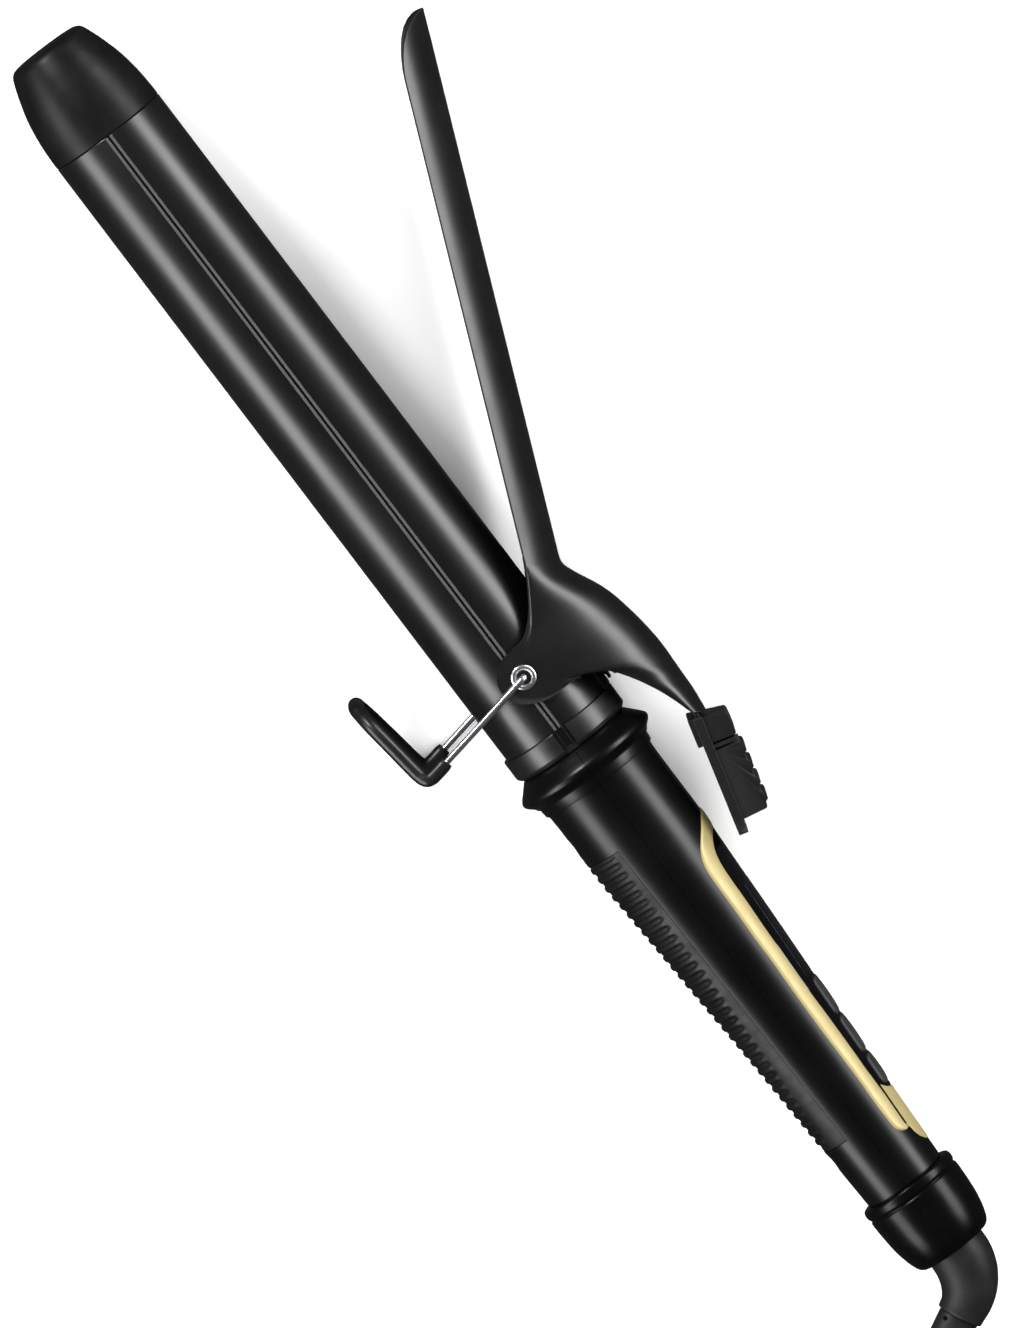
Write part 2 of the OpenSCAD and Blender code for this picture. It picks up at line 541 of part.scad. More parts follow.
module strain_relief() color([0.05, 0.05, 0.05]) lie() translate(elbow_end)
  rotate([0, 0, -bend_a]) turned(concat([[0, 0], [0, 5.3], [8, 5.1]],
    flat([for (k = [0 : 4]) let (x = 15 + 3.5 * k, r = 4.68 - 0.17 * k)
      [[x, r], [x, r - 0.9], [x + 1.6, r - 0.95], [x + 1.6, r - 0.05]]]),
    [[32.6, 3.9], [boot_len, 3.6], [boot_len, 0]]), 48);

// The cord's free run: from the strain relief down to the floor and into the coil
route = [[391.6, -50, 21.6], [396.4, -62, 19.8], [401, -74, 17.8], [405.4, -85, 16.2],
  [410.6, -95.5, 15.3], [418.4, -105.5, 15]];
// Its last run, out of the coil and up to the plug, from the plug's place
lead = [[0, -42, -5.9], [0, -28, -5.9], [0, -22, -4.9], [0, -16, -3.2], [0, -10, -1.3],
  [0, -5, -0.2], [0, 0, 0]];
plug_at = [coil_c[0] + coil_out, coil_c[1] + 40, 9];
module power_cord() color([0.06, 0.06, 0.06]) {
  p = concat([lain(boot_end), lain(boot_end + 3 * out)],
    [for (q = route) [q[0] + mid[0], q[1] + mid[1], q[2]]]);
  path = spline(p, 2);
  tube(path, [for (q = path) cord_d / 2], 10, [0, 0, 1]);
  on_floor() translate(plug_at) tube(lead, [for (q = lead) cord_d / 2], 10, [0, 0, 1]);
}
module cord_coil() color([0.06, 0.06, 0.06]) on_floor() translate(coil_c)
  rotate_extrude($fn = 96) polygon([[coil_in, 4.5], [coil_in + 4.5, 0],
    [coil_in + 13.5, 0], [coil_in + 18, 4.5], [coil_in + 18, coil_h - 4.5],
    [coil_in + 13.5, coil_h], [coil_in + 4.5, coil_h], [coil_in, coil_h - 4.5]]);
// The plug lies beside the coil, where the cord's other end leaves it
module at_plug() on_floor() translate(plug_at) rotate([0, 0, 90]) children();
plug_face = 44;
blade_len = 17.5;
blade_root = 8;
module blades(g) for (s = [-1, 1]) translate([plug_face - blade_root - g, 6.35 * s - 0.75 - g,
  -3.2 - g]) cube([blade_root + blade_len + g, 1.5 + 2 * g, 6.4 + 2 * g]);
module plug_body() color([0.06, 0.06, 0.06]) at_plug() difference() {
  union() {
    turned([[0, 0], [0, 3.6], [18, 4.8], [19, 4.8], [19, 0]], 48);
    translate([18, 0, 0]) rotate([90, 0, 90]) linear_extrude(plug_face - 18)
      polygon(rounded(11, 8, 3));
  }
  blades(0.02);
}
module plug_blades() color([0.8, 0.7, 0.4]) at_plug() blades(0);

cool_tip();
barrel();
barrel_strip();
heater_block_upper();
heater_block_lower();
ptc_heater();
heat_sensor();
heater_leads();
pivot_sleeve();
pivot_eyelets();
barrel_base();
spring_seat();
clamp_spring();
clamp();
thumb_pad();
stand_wire();
stand_sleeve();
handle_shell_upper();
handle_shell_lower();
handle_screws();
grip_insert();
trim_frame();
trim_end_plate();
control_panel();
display_lens();
lcd_module();
circuit_board();
key_switches();
power_button();
plus_button();
minus_button();
end_cap();
brush_contacts();
slip_rings();
swivel_elbow();
strain_relief();
power_cord();
cord_coil();
plug_body();
plug_blades();
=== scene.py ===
"""Curling iron: the looks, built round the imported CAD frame.

Lengths are millimetres in the iron's own frame: x runs from the barrel's tip joint to the cord,
y towards the clamp's side and z up. LIE takes them to the row frame, in metres.
"""
import json
from math import acos, cos, pi, radians, sin, sqrt

import bmesh
import bpy
from mathutils import Matrix, Vector


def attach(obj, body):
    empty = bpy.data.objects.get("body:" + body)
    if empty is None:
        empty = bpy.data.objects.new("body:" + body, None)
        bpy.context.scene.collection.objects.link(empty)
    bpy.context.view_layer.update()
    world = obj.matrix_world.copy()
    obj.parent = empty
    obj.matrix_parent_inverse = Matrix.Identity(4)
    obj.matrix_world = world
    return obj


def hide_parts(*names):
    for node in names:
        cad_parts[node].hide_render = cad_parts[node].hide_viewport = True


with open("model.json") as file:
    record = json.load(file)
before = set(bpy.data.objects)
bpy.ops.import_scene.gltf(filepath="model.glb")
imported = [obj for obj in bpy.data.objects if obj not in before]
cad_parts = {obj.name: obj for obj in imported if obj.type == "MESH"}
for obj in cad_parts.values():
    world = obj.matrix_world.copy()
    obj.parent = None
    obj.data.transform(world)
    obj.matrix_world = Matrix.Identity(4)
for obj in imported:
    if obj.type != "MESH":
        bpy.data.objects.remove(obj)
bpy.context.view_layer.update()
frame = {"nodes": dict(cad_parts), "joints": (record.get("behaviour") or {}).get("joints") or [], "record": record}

# ---- the frame: axes and pivots come from the record; key sizes are given here ----
JOINTS = {j["name"]: j for j in frame["joints"]}
MOUNTS = {m["name"]: m for m in frame["record"]["mounts"]}
AXIS, UP = Vector(JOINTS["cord_swivel"]["axis"]), Vector(JOINTS["clamp_pivot"]["axis"])
SIDE = UP.cross(AXIS)
TURN = Matrix((AXIS, SIDE, UP)).transposed().to_4x4()
LIE = Matrix.Translation(MOUNTS["barrel_holder"]["pos_m"]) @ TURN @ Matrix.Scale(0.001, 4)
FLOOR = Matrix.Translation((LIE.translation.x, LIE.translation.y, 0)) @ Matrix.Scale(0.001, 4)
PIVOT = LIE.inverted() @ Vector(JOINTS["clamp_pivot"]["pos_m"])
CLAMP_OPEN = radians(JOINTS["clamp_pivot"]["range_deg"][1])
AT_PIVOT = LIE @ Matrix.Translation(PIVOT)
CLAMP = AT_PIVOT @ Matrix.Rotation(-CLAMP_OPEN, 4, "Z")

BARREL_R = 16.0
SHEET = 0.8
CLAMP_GAP = 0.3
CLAMP_R = BARREL_R + CLAMP_GAP + SHEET
FLANGE_X, FLANGE_R = 201, 19.8
SHARP = 38


# ---- camera, floor and lights ----
CAMERA_AWAY = 5
# half the picture's height where the iron lies, in metres
HALF_VIEW = 0.1688
LOOK_AT = (170.2, -0.05, 0)
UPWARD = (-0.798, 0.6027, 0)
LEAN_TO_TIP, LEAN_TO_CLAMP = radians(5.1), radians(2.5)
LIT_POINT = (150, 0, 0)
FLOOR_HALF = 6


def socket(node, name, value):
    node.inputs[name].default_value = value


def aim(direction, upward):
    """Rotation whose Z runs along direction, back from what is looked at, with upward up."""
    back = direction.normalized()
    right = upward.cross(back).normalized()
    return Matrix((right, back.cross(right), back)).transposed().to_4x4()


def camera():
    data = bpy.data.cameras.new("camera")
    data.sensor_fit = "VERTICAL"
    data.sensor_height = 24
    data.lens = data.sensor_height / 2 * CAMERA_AWAY / HALF_VIEW
    data.clip_start, data.clip_end = 0.05, 40
    eye = bpy.data.objects.new("camera", data)
    bpy.context.scene.collection.objects.link(eye)
    lean = (TURN @ Vector((-sin(LEAN_TO_TIP), sin(LEAN_TO_CLAMP), 1))).normalized()
    eye.matrix_world = (Matrix.Translation(LIE @ Vector(LOOK_AT) + CAMERA_AWAY * lean)
                        @ aim(lean, TURN @ Vector(UPWARD)))
    bpy.context.scene.camera = eye


def area_light(name, direction, distance, width, height, power):
    """A soft box facing the iron, its width along the iron's axis."""
    data = bpy.data.lights.new(name, "AREA")
    data.shape, data.size, data.size_y = "RECTANGLE", width, height
    data.energy = power
    lamp = bpy.data.objects.new(name, data)
    lamp.visible_camera = False
    bpy.context.scene.collection.objects.link(lamp)
    d = (TURN @ Vector(direction)).normalized()
    side = AXIS - AXIS.dot(d) * d
    lamp.matrix_world = (Matrix.Translation(LIE @ Vector(LIT_POINT) + distance * d)
                         @ aim(d, d.cross(side).normalized()))


def stage():
    mesh = bpy.data.meshes.new("floor")
    mesh.from_pydata([(x * FLOOR_HALF, y * FLOOR_HALF, 0)
                      for x, y in ((-1, -1), (1, -1), (1, 1), (-1, 1))], [], [(0, 1, 2, 3)])
    floor = bpy.data.objects.new("floor", mesh)
    bpy.context.scene.collection.objects.link(floor)
    floor.visible_glossy = False
    paint = bpy.data.materials.new("floor_paint")
    paint.use_nodes = True
    shader = paint.node_tree.nodes["Principled BSDF"]
    socket(shader, "Base Color", (0.86, 0.86, 0.86, 1))
    socket(shader, "Roughness", 0.9)
    socket(shader, "Specular IOR Level", 0.2)
    mesh.materials.append(paint)
    world = bpy.data.worlds.new("studio")
    world.use_nodes = True
    background = world.node_tree.nodes["Background"]
    socket(background, "Color", (0.9, 0.95, 1, 1))
    socket(background, "Strength", 0.05)
    bpy.context.scene.world = world
    bpy.context.scene.view_settings.view_transform = "Standard"
    # two long soft boxes, one each side of the iron, and a weak one beyond the tip
    area_light("box_left", (0, -sin(radians(62)), cos(radians(62))), 1.1, 1.5, 0.44, 19)
    area_light("box_right", (0, sin(radians(63)), cos(radians(63))), 1.1, 1.5, 0.4, 21)
    sky = bpy.data.lights.new("fill", "SUN")
    sky.energy, sky.angle = 3.4, radians(110)
    fill = bpy.data.objects.new("fill", sky)
    fill.visible_glossy = False
    bpy.context.scene.collection.objects.link(fill)
    area_light("box_tip", (-0.85, -0.2, 0.57), 1.0, 0.2, 0.2, 6)


# ---- materials ----
def material(name, colour, rough, metal=0.0, mottle=0.25, mottle_mm=14, grain=0.0, grain_mm=0.4,
             smudge=0.08, streak=(1, 1, 1), ior=1.5, painted_edge_highlight=0.0):
    """Principled surface with mottled colour, smudged roughness and a fine bump.

    mottle and smudge are shares, grain is the bump's height in mm and streak stretches the noise.
    The last setting lightens the colour at sharp edges, as a painted highlight along the edges.
    """
    m = bpy.data.materials.new(name)
    m.use_nodes = True
    nodes, links = m.node_tree.nodes, m.node_tree.links
    shader = nodes["Principled BSDF"]
    socket(shader, "Metallic", metal)
    socket(shader, "IOR", ior)
    place = nodes.new("ShaderNodeTexCoord")
    stretch = nodes.new("ShaderNodeMapping")
    socket(stretch, "Scale", streak)
    links.new(place.outputs["Object"], stretch.inputs["Vector"])

    def noise(size_mm, detail, roughness=0.5):
        n = nodes.new("ShaderNodeTexNoise")
        socket(n, "Scale", 1000 / size_mm)
        socket(n, "Detail", detail)
        socket(n, "Roughness", roughness)
        links.new(stretch.outputs["Vector"], n.inputs["Vector"])
        return n.outputs["Fac"]

    def ramp(fac, low, high, low_at=0.35, high_at=0.65):
        r = nodes.new("ShaderNodeMapRange")
        for end, value in (("From Min", low_at), ("From Max", high_at), ("To Min", low),
                           ("To Max", high)):
            socket(r, end, value)
        links.new(fac, r.inputs["Value"])
        return r.outputs["Result"]

    def mix(fac, a, b):
        x = nodes.new("ShaderNodeMix")
        x.data_type = "RGBA"
        links.new(fac, x.inputs["Factor"])
        for side, value in (("A", a), ("B", b)):
            sock = [s for s in x.inputs if s.name == side and s.type == "RGBA"][0]
            if isinstance(value, tuple):
                sock.default_value = value
            else:
                links.new(value, sock)
        return [s for s in x.outputs if s.type == "RGBA"][0]

    dark = tuple(c * (1 - mottle) for c in colour) + (1,)
    light = tuple(c * (1 + mottle) for c in colour) + (1,)
    tone = mix(ramp(noise(mottle_mm, 5), 0, 1), dark, light)
    # painted highlight: lightens the colour where the surface is sharp, standing in for light caught by the edges
    if painted_edge_highlight:
        edge = nodes.new("ShaderNodeNewGeometry").outputs["Pointiness"]
        highlit_tone = tuple(min(1, c + painted_edge_highlight) for c in colour) + (1,)
        tone = mix(ramp(edge, 0, 0.6, 0.52, 0.62), tone, highlit_tone)
    links.new(tone, shader.inputs["Base Color"])
    links.new(ramp(noise(mottle_mm * 0.6, 6, 0.62), rough * (1 - smudge), rough * (1 + smudge)),
              shader.inputs["Roughness"])
    if grain:
        bump = nodes.new("ShaderNodeBump")
        socket(bump, "Strength", 1)
        socket(bump, "Distance", grain * 0.001)
        links.new(noise(grain_mm, 3), bump.inputs["Height"])
        links.new(bump.outputs["Normal"], shader.inputs["Normal"])
    return m


ALONG = (0.04, 1, 1)
LOOKS = {
    "tip_plastic": dict(colour=(0.0035, 0.0035, 0.0036), rough=0.4, ior=1.25, grain=0.004,
                        grain_mm=0.5, mottle_mm=9),
    "barrel_coating": dict(colour=(0.0025, 0.0025, 0.0026), rough=0.3, mottle=0.3, mottle_mm=22,
                           grain=0.003, grain_mm=0.7, streak=(0.25, 1, 1)),
    "strip_metal": dict(colour=(0.085, 0.085, 0.085), rough=0.34, metal=0.5, mottle=0.12,
                        grain=0.006, grain_mm=0.3, streak=ALONG),
    "heater_aluminium": dict(colour=(0.72, 0.72, 0.73), rough=0.4, metal=1, grain=0.02,
                             grain_mm=0.8),
    "heater_film": dict(colour=(0.5, 0.26, 0.08), rough=0.3, grain=0.01, grain_mm=2),
    "sensor_glass": dict(colour=(0.75, 0.72, 0.62), rough=0.25, grain=0.01),
    "lead_sleeving": dict(colour=(0.75, 0.75, 0.72), rough=0.85, grain=0.06, grain_mm=0.6),
    "steel": dict(colour=(0.55, 0.55, 0.56), rough=0.3, metal=1, grain=0.004, streak=ALONG),
    "eyelet_chrome": dict(colour=(0.86, 0.86, 0.87), rough=0.3, metal=1, mottle=0.06, grain=0.006,
                          grain_mm=0.8),
    "base_plastic": dict(colour=(0.004, 0.004, 0.0042), rough=0.33, grain=0.006, grain_mm=0.45,
                         mottle_mm=6),
    # the clamp's and the pad's edges carry a painted highlight: lighter colour at their sharp edges
    "clamp_coating": dict(colour=(0.003, 0.003, 0.0031), rough=0.33, mottle=0.3, grain=0.005,
                          grain_mm=0.5, mottle_mm=18, painted_edge_highlight=0.015),
    "pad_plastic": dict(colour=(0.0014, 0.0014, 0.0015), rough=0.3, ior=1.36, grain=0.006,
                        grain_mm=0.35, mottle_mm=5, painted_edge_highlight=0.06),
    "wire_chrome": dict(colour=(0.82, 0.82, 0.84), rough=0.3, metal=1, mottle=0.06, grain=0.0006,
                        grain_mm=3),
    "sleeve_rubber": dict(colour=(0.003, 0.003, 0.003), rough=0.36, grain=0.01, grain_mm=0.5),
    "handle_plastic": dict(colour=(0.0012, 0.0012, 0.0013), rough=0.3, ior=1.34, grain=0.0012,
                           grain_mm=1.6, mottle_mm=25, smudge=0.06),
    "cap_plastic": dict(colour=(0.0012, 0.0012, 0.0013), rough=0.26, ior=1.25, grain=0.002,
                        grain_mm=0.8, mottle_mm=12),
    "screw_steel": dict(colour=(0.12, 0.12, 0.12), rough=0.35, metal=0.9, grain=0.006),
    "grip_rubber": dict(colour=(0.0022, 0.0022, 0.0023), rough=0.46, ior=1.35, grain=0.006,
                        smudge=0.15),
    "trim_gold": dict(colour=(0.32, 0.262, 0.115), rough=0.45, metal=0.3, mottle=0.04,
                      grain=0.003, grain_mm=0.8, smudge=0.12),
    "panel_black": dict(colour=(0.0014, 0.0014, 0.0016), rough=0.14, grain=0.0015, grain_mm=2,
                        smudge=0.25),
    "lens_dark": dict(colour=(0.003, 0.0033, 0.004), rough=0.09, grain=0.0008, grain_mm=3,
                      smudge=0.3),
    "lcd_glass": dict(colour=(0.16, 0.19, 0.16), rough=0.12, grain=0.001),
    "board_green": dict(colour=(0.03, 0.16, 0.07), rough=0.35, grain=0.02, grain_mm=1),
    "switch_plastic": dict(colour=(0.05, 0.05, 0.055), rough=0.5, grain=0.01),
    "key_plastic": dict(colour=(0.016, 0.016, 0.0165), rough=0.5, ior=1.42, grain=0.008,
                        grain_mm=0.35, mottle_mm=5),
    "contact_brass": dict(colour=(0.72, 0.52, 0.2), rough=0.28, metal=1, mottle=0.1, grain=0.004,
                          streak=ALONG),
    "swivel_plastic": dict(colour=(0.007, 0.007, 0.0073), rough=0.5, ior=1.32, grain=0.006,
                           grain_mm=0.5, mottle_mm=8),
    "cord_rubber": dict(colour=(0.006, 0.006, 0.006), rough=0.45, ior=1.4, grain=0.01,
                        grain_mm=0.6, mottle_mm=10),
}
MATERIALS = {name: material(name, **look) for name, look in LOOKS.items()}


# ---- mesh helpers ----
def finish(obj, body, slot, *nodes, bevel=0.0, segments=2, angle=40):
    """Bevels a piece's edges, gives it its material and lets it stand for its CAD nodes."""
    if bevel:
        m = obj.modifiers.new("edges", "BEVEL")
        m.width, m.segments, m.limit_method = bevel * 0.001, segments, "ANGLE"
        m.angle_limit, m.harden_normals = radians(angle), True
        m.use_clamp_overlap = True
    obj.data.materials.clear()
    obj.data.materials.append(MATERIALS[slot])
    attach(obj, body)
    if nodes:
        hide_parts(*nodes)
    return obj


def solid(name, verts, faces, place=LIE, sharp=SHARP):
    """A mesh object from points in mm, welded, with outward normals and smooth shading."""
    mesh = bpy.data.meshes.new(name)
    mesh.from_pydata([place @ Vector(v) for v in verts], [], faces)
    b = bmesh.new()
    b.from_mesh(mesh)
    bmesh.ops.remove_doubles(b, verts=b.verts, dist=2e-6)
    bmesh.ops.dissolve_degenerate(b, edges=b.edges, dist=1e-6)
    bmesh.ops.recalc_face_normals(b, faces=b.faces)
    b.to_mesh(mesh)
    b.free()
    mesh.shade_smooth()
    mesh.set_sharp_from_angle(angle=radians(sharp))
    obj = bpy.data.objects.new(name, mesh)
    bpy.context.scene.collection.objects.link(obj)
    return obj


def merged(name, *shapes, place=LIE, sharp=SHARP):
    """One object from several (verts, faces) shapes."""
    verts, faces = [], []
    for v, f in shapes:
        faces += [tuple(i + len(verts) for i in face) for face in f]
        verts += list(v)
    return solid(name, verts, faces, place, sharp)


def rounded(points, steps):
    """A closed outline of (x, y) or (x, y, fillet) points, with its fillets as arcs."""
    out = []
    for i, p in enumerate(points):
        fillet = p[2] if len(p) > 2 else 0
        if not fillet:
            out.append((p[0], p[1]))
            continue
        here = Vector(p[:2])
        a = Vector(points[i - 1][:2]) - here
        b = Vector(points[(i + 1) % len(points)][:2]) - here
        reach = min(fillet, a.length * 0.49, b.length * 0.49)
        start, end = here + a.normalized() * reach, here + b.normalized() * reach
        for k in range(steps + 1):
            t = k / steps
            q = start * (1 - t) ** 2 + here * 2 * t * (1 - t) + end * t ** 2
            out.append((q.x, q.y))
    return out


def smooth(points, steps):
    """A Catmull-Rom curve through the points, of any dimension."""
    pts = [Vector(p) for p in points]
    out = []
    for i in range(len(pts) - 1):
        a, b = pts[max(i - 1, 0)], pts[i]
        c, d = pts[i + 1], pts[min(i + 2, len(pts) - 1)]
        for k in range(steps):
            t = k / steps
            out.append(0.5 * (2 * b + (c - a) * t + (2 * a - 5 * b + 4 * c - d) * t * t
                              + (3 * b - a - 3 * c + d) * t ** 3))
    return [tuple(p) for p in out] + [tuple(pts[-1])]


def lathe(profile, n, start=0.0, sweep=360.0, dent=None):
    """A closed (x, radius) outline turned about the x axis. Angle 0 is +y and 90 is +z.

    dent(x, angle) is taken off the radius.
    """
    whole = sweep >= 359.9
    count = n if whole else n + 1
    verts = []
    for k in range(count):
        a = start + sweep * k / n
        for x, r in profile:
            d = dent(x, a % 360) if dent and r > 0.01 else 0
            verts.append((x, (r - d) * cos(radians(a)), (r - d) * sin(radians(a))))
    m = len(profile)
    faces = []
    for k in range(n):
        a, b = k * m, ((k + 1) % count) * m
        faces += [(a + i, a + (i + 1) % m, b + (i + 1) % m, b + i) for i in range(m)]
    if not whole:
        faces += [tuple(range(m)), tuple(n * m + i for i in reversed(range(m)))]
    return verts, faces


def loft(rows, caps=True):
    """Quads between rows of points; each row is a closed ring."""
    m = len(rows[0])
    verts = [p for row in rows for p in row]
    faces = []
    for i in range(len(rows) - 1):
        for k in range(m):
            a, b = i * m + k, i * m + (k + 1) % m
            faces.append((a, b, b + m, a + m))
    if caps:
        faces += [tuple(range(m)), tuple((len(rows) - 1) * m + k for k in reversed(range(m)))]
    return verts, faces


def sweep_ring(points, radii, n, side=(0, 0, 1)):
    """A round tube of n sides along points, with its own radius at each."""
    pts = [Vector(p) for p in points]
    rows, x = [], None
    for i, p in enumerate(pts):
        d = (pts[min(i + 1, len(pts) - 1)] - pts[max(i - 1, 0)]).normalized()
        x = Vector(side) if x is None else x
        x = (x - x.dot(d) * d).normalized()
        y = d.cross(x)
        rows.append([tuple(p + radii[i] * (cos(2 * pi * k / n) * x + sin(2 * pi * k / n) * y))
                     for k in range(n)])
    return loft(rows)


def moved(shape, matrix):
    """The shape with its points taken through the matrix."""
    return [tuple(matrix @ Vector(v)) for v in shape[0]], shape[1]


def box_shape(x0, x1, y0, y1, z0, z1):
    v = [(x, y, z) for x in (x0, x1) for y in (y0, y1) for z in (z0, z1)]
    return v, [(0, 1, 3, 2), (4, 6, 7, 5), (0, 4, 5, 1), (2, 3, 7, 6), (0, 2, 6, 4), (1, 5, 7, 3)]


def prism(outline, z0, z1):
    """A closed (x, y) outline pulled from z0 to z1."""
    return loft([[(x, y, z) for x, y in outline] for z in (z0, z1)])


def upright(outline, y0, y1):
    """A closed (x, z) outline pulled from y0 to y1."""
    return loft([[(x, y, z) for x, z in outline] for y in (y0, y1)])


camera()
stage()


# ---- the handle's surface ----
HANDLE = [(195.7, 15.3), (196.6, 16.2), (199.3, 18.7), (200.2, 19.5), (201, FLANGE_R),
          (201.8, 19.5), (202.7, 18.5), (204, 17.5), (204.2, 16.9), (206.6, 16.7),
          (206.8, 16.35), (209, 16.0), (212, 15.92), (229, 15.85), (236.7, 15.45), (245, 15.05),
          (254.5, 14.63), (267.2, 14.05), (280, 13.42), (292.7, 12.9), (305.4, 12.42),
          (323.2, 11.75), (336.2, 11.25)]
BODY_CURVE = smooth(HANDLE[11:], 8)


def at(table, x):
    """Value at x of a table of rising (x, value) pairs, held at its ends."""
    if x <= table[0][0]:
        return table[0][1]
    for (x0, v0), (x1, v1) in zip(table, table[1:]):
        if x <= x1:
            return v0 + (v1 - v0) * (x - x0) / (x1 - x0) if x1 > x0 else v1
    return table[-1][1]


def handle_r(x):
    return at(BODY_CURVE, x)


def on_handle(x, z, rise):
    """Point of the handle's upper surface over plan point (x, z), raised by rise."""
    r = handle_r(x) + rise
    return (x, sqrt(max(r * r - z * z, 0.01)), z)


def slab(rows, low, high, edge=0.12):
    """A solid over rows of (x, z) plan points, between two heights off the handle's surface.

    Its rim is lower by edge.
    """
    m, n = len(rows[0]), len(rows)

    def rise(i, k):
        rim = i in (0, n - 1) or k in (0, m - 1)
        return high - edge if rim else high
    top = [[on_handle(*p, rise(i, k)) for k, p in enumerate(row)] for i, row in enumerate(rows)]
    base = [[on_handle(*p, low) for p in row] for row in rows]
    verts = [p for row in top for p in row] + [p for row in base for p in row]
    faces, o = [], m * n
    for i in range(n - 1):
        for k in range(m - 1):
            a = i * m + k
            faces += [(a, a + 1, a + m + 1, a + m), (o + a, o + a + m, o + a + m + 1, o + a + 1)]
    rim = (list(range(m)) + [i * m + m - 1 for i in range(1, n)]
           + [(n - 1) * m + k for k in reversed(range(m - 1))]
           + [i * m for i in reversed(range(1, n - 1))])
    faces += [(a, b, o + b, o + a) for a, b in zip(rim, rim[1:] + rim[:1])]
    return verts, faces


SPREAD_COLUMNS = 26
RIM = 0.35


def spread(widths, x0, x1, n, inset=0.0):
    """Rows of plan points across a symmetric shape given by (x, half width) pairs."""
    rows, m = [], SPREAD_COLUMNS
    for i in range(n + 1):
        x = x0 + (x1 - x0) * (1 - cos(pi * i / n)) / 2
        w = at(widths, x) - inset
        rim = min(RIM, w / 3)
        zs = [-w] + [(w - rim) * (2 * k / (m - 2) - 1) for k in range(m - 1)] + [w]
        rows.append([(x, z) for z in zs])
    return rows


def resample(points, n):
    """The polyline through the points, cut into n equal lengths."""
    pts = [Vector(p) for p in points]
    run = [0.0]
    for a, b in zip(pts, pts[1:]):
        run.append(run[-1] + (b - a).length)
    out, k = [], 0
    for i in range(n + 1):
        d = run[-1] * i / n
        while k < len(pts) - 2 and run[k + 1] < d:
            k += 1
        t = (d - run[k]) / max(run[k + 1] - run[k], 1e-9)
        out.append(tuple(pts[k].lerp(pts[k + 1], t)))
    return out


def cut(obj, *tools):
    """Takes the tools out of obj, and throws them away."""
    for tool in tools:
        m = obj.modifiers.new("cut", "BOOLEAN")
        m.operation, m.solver, m.object = "DIFFERENCE", "EXACT", tool
    mesh = bpy.data.meshes.new_from_object(obj.evaluated_get(
        bpy.context.evaluated_depsgraph_get()))
    obj.modifiers.clear()
    obj.data = mesh
    for tool in tools:
        bpy.data.objects.remove(tool)
    mesh.shade_smooth()
    mesh.set_sharp_from_angle(angle=radians(SHARP))
    return obj


# ---- barrel ----
TUBE_END = 194
# half the angle that the strip, and the notch in the collar behind it, take up, in degrees
STRIP_HALF, NOTCH_HALF = 3.6, 6.9
RAIL_WIDE = STRIP_HALF * 0.62


def open_at_top(half):
    """Start and sweep of a turned shape with a slot of half each side of its top."""
    return 90 + half, 360 - 2 * half


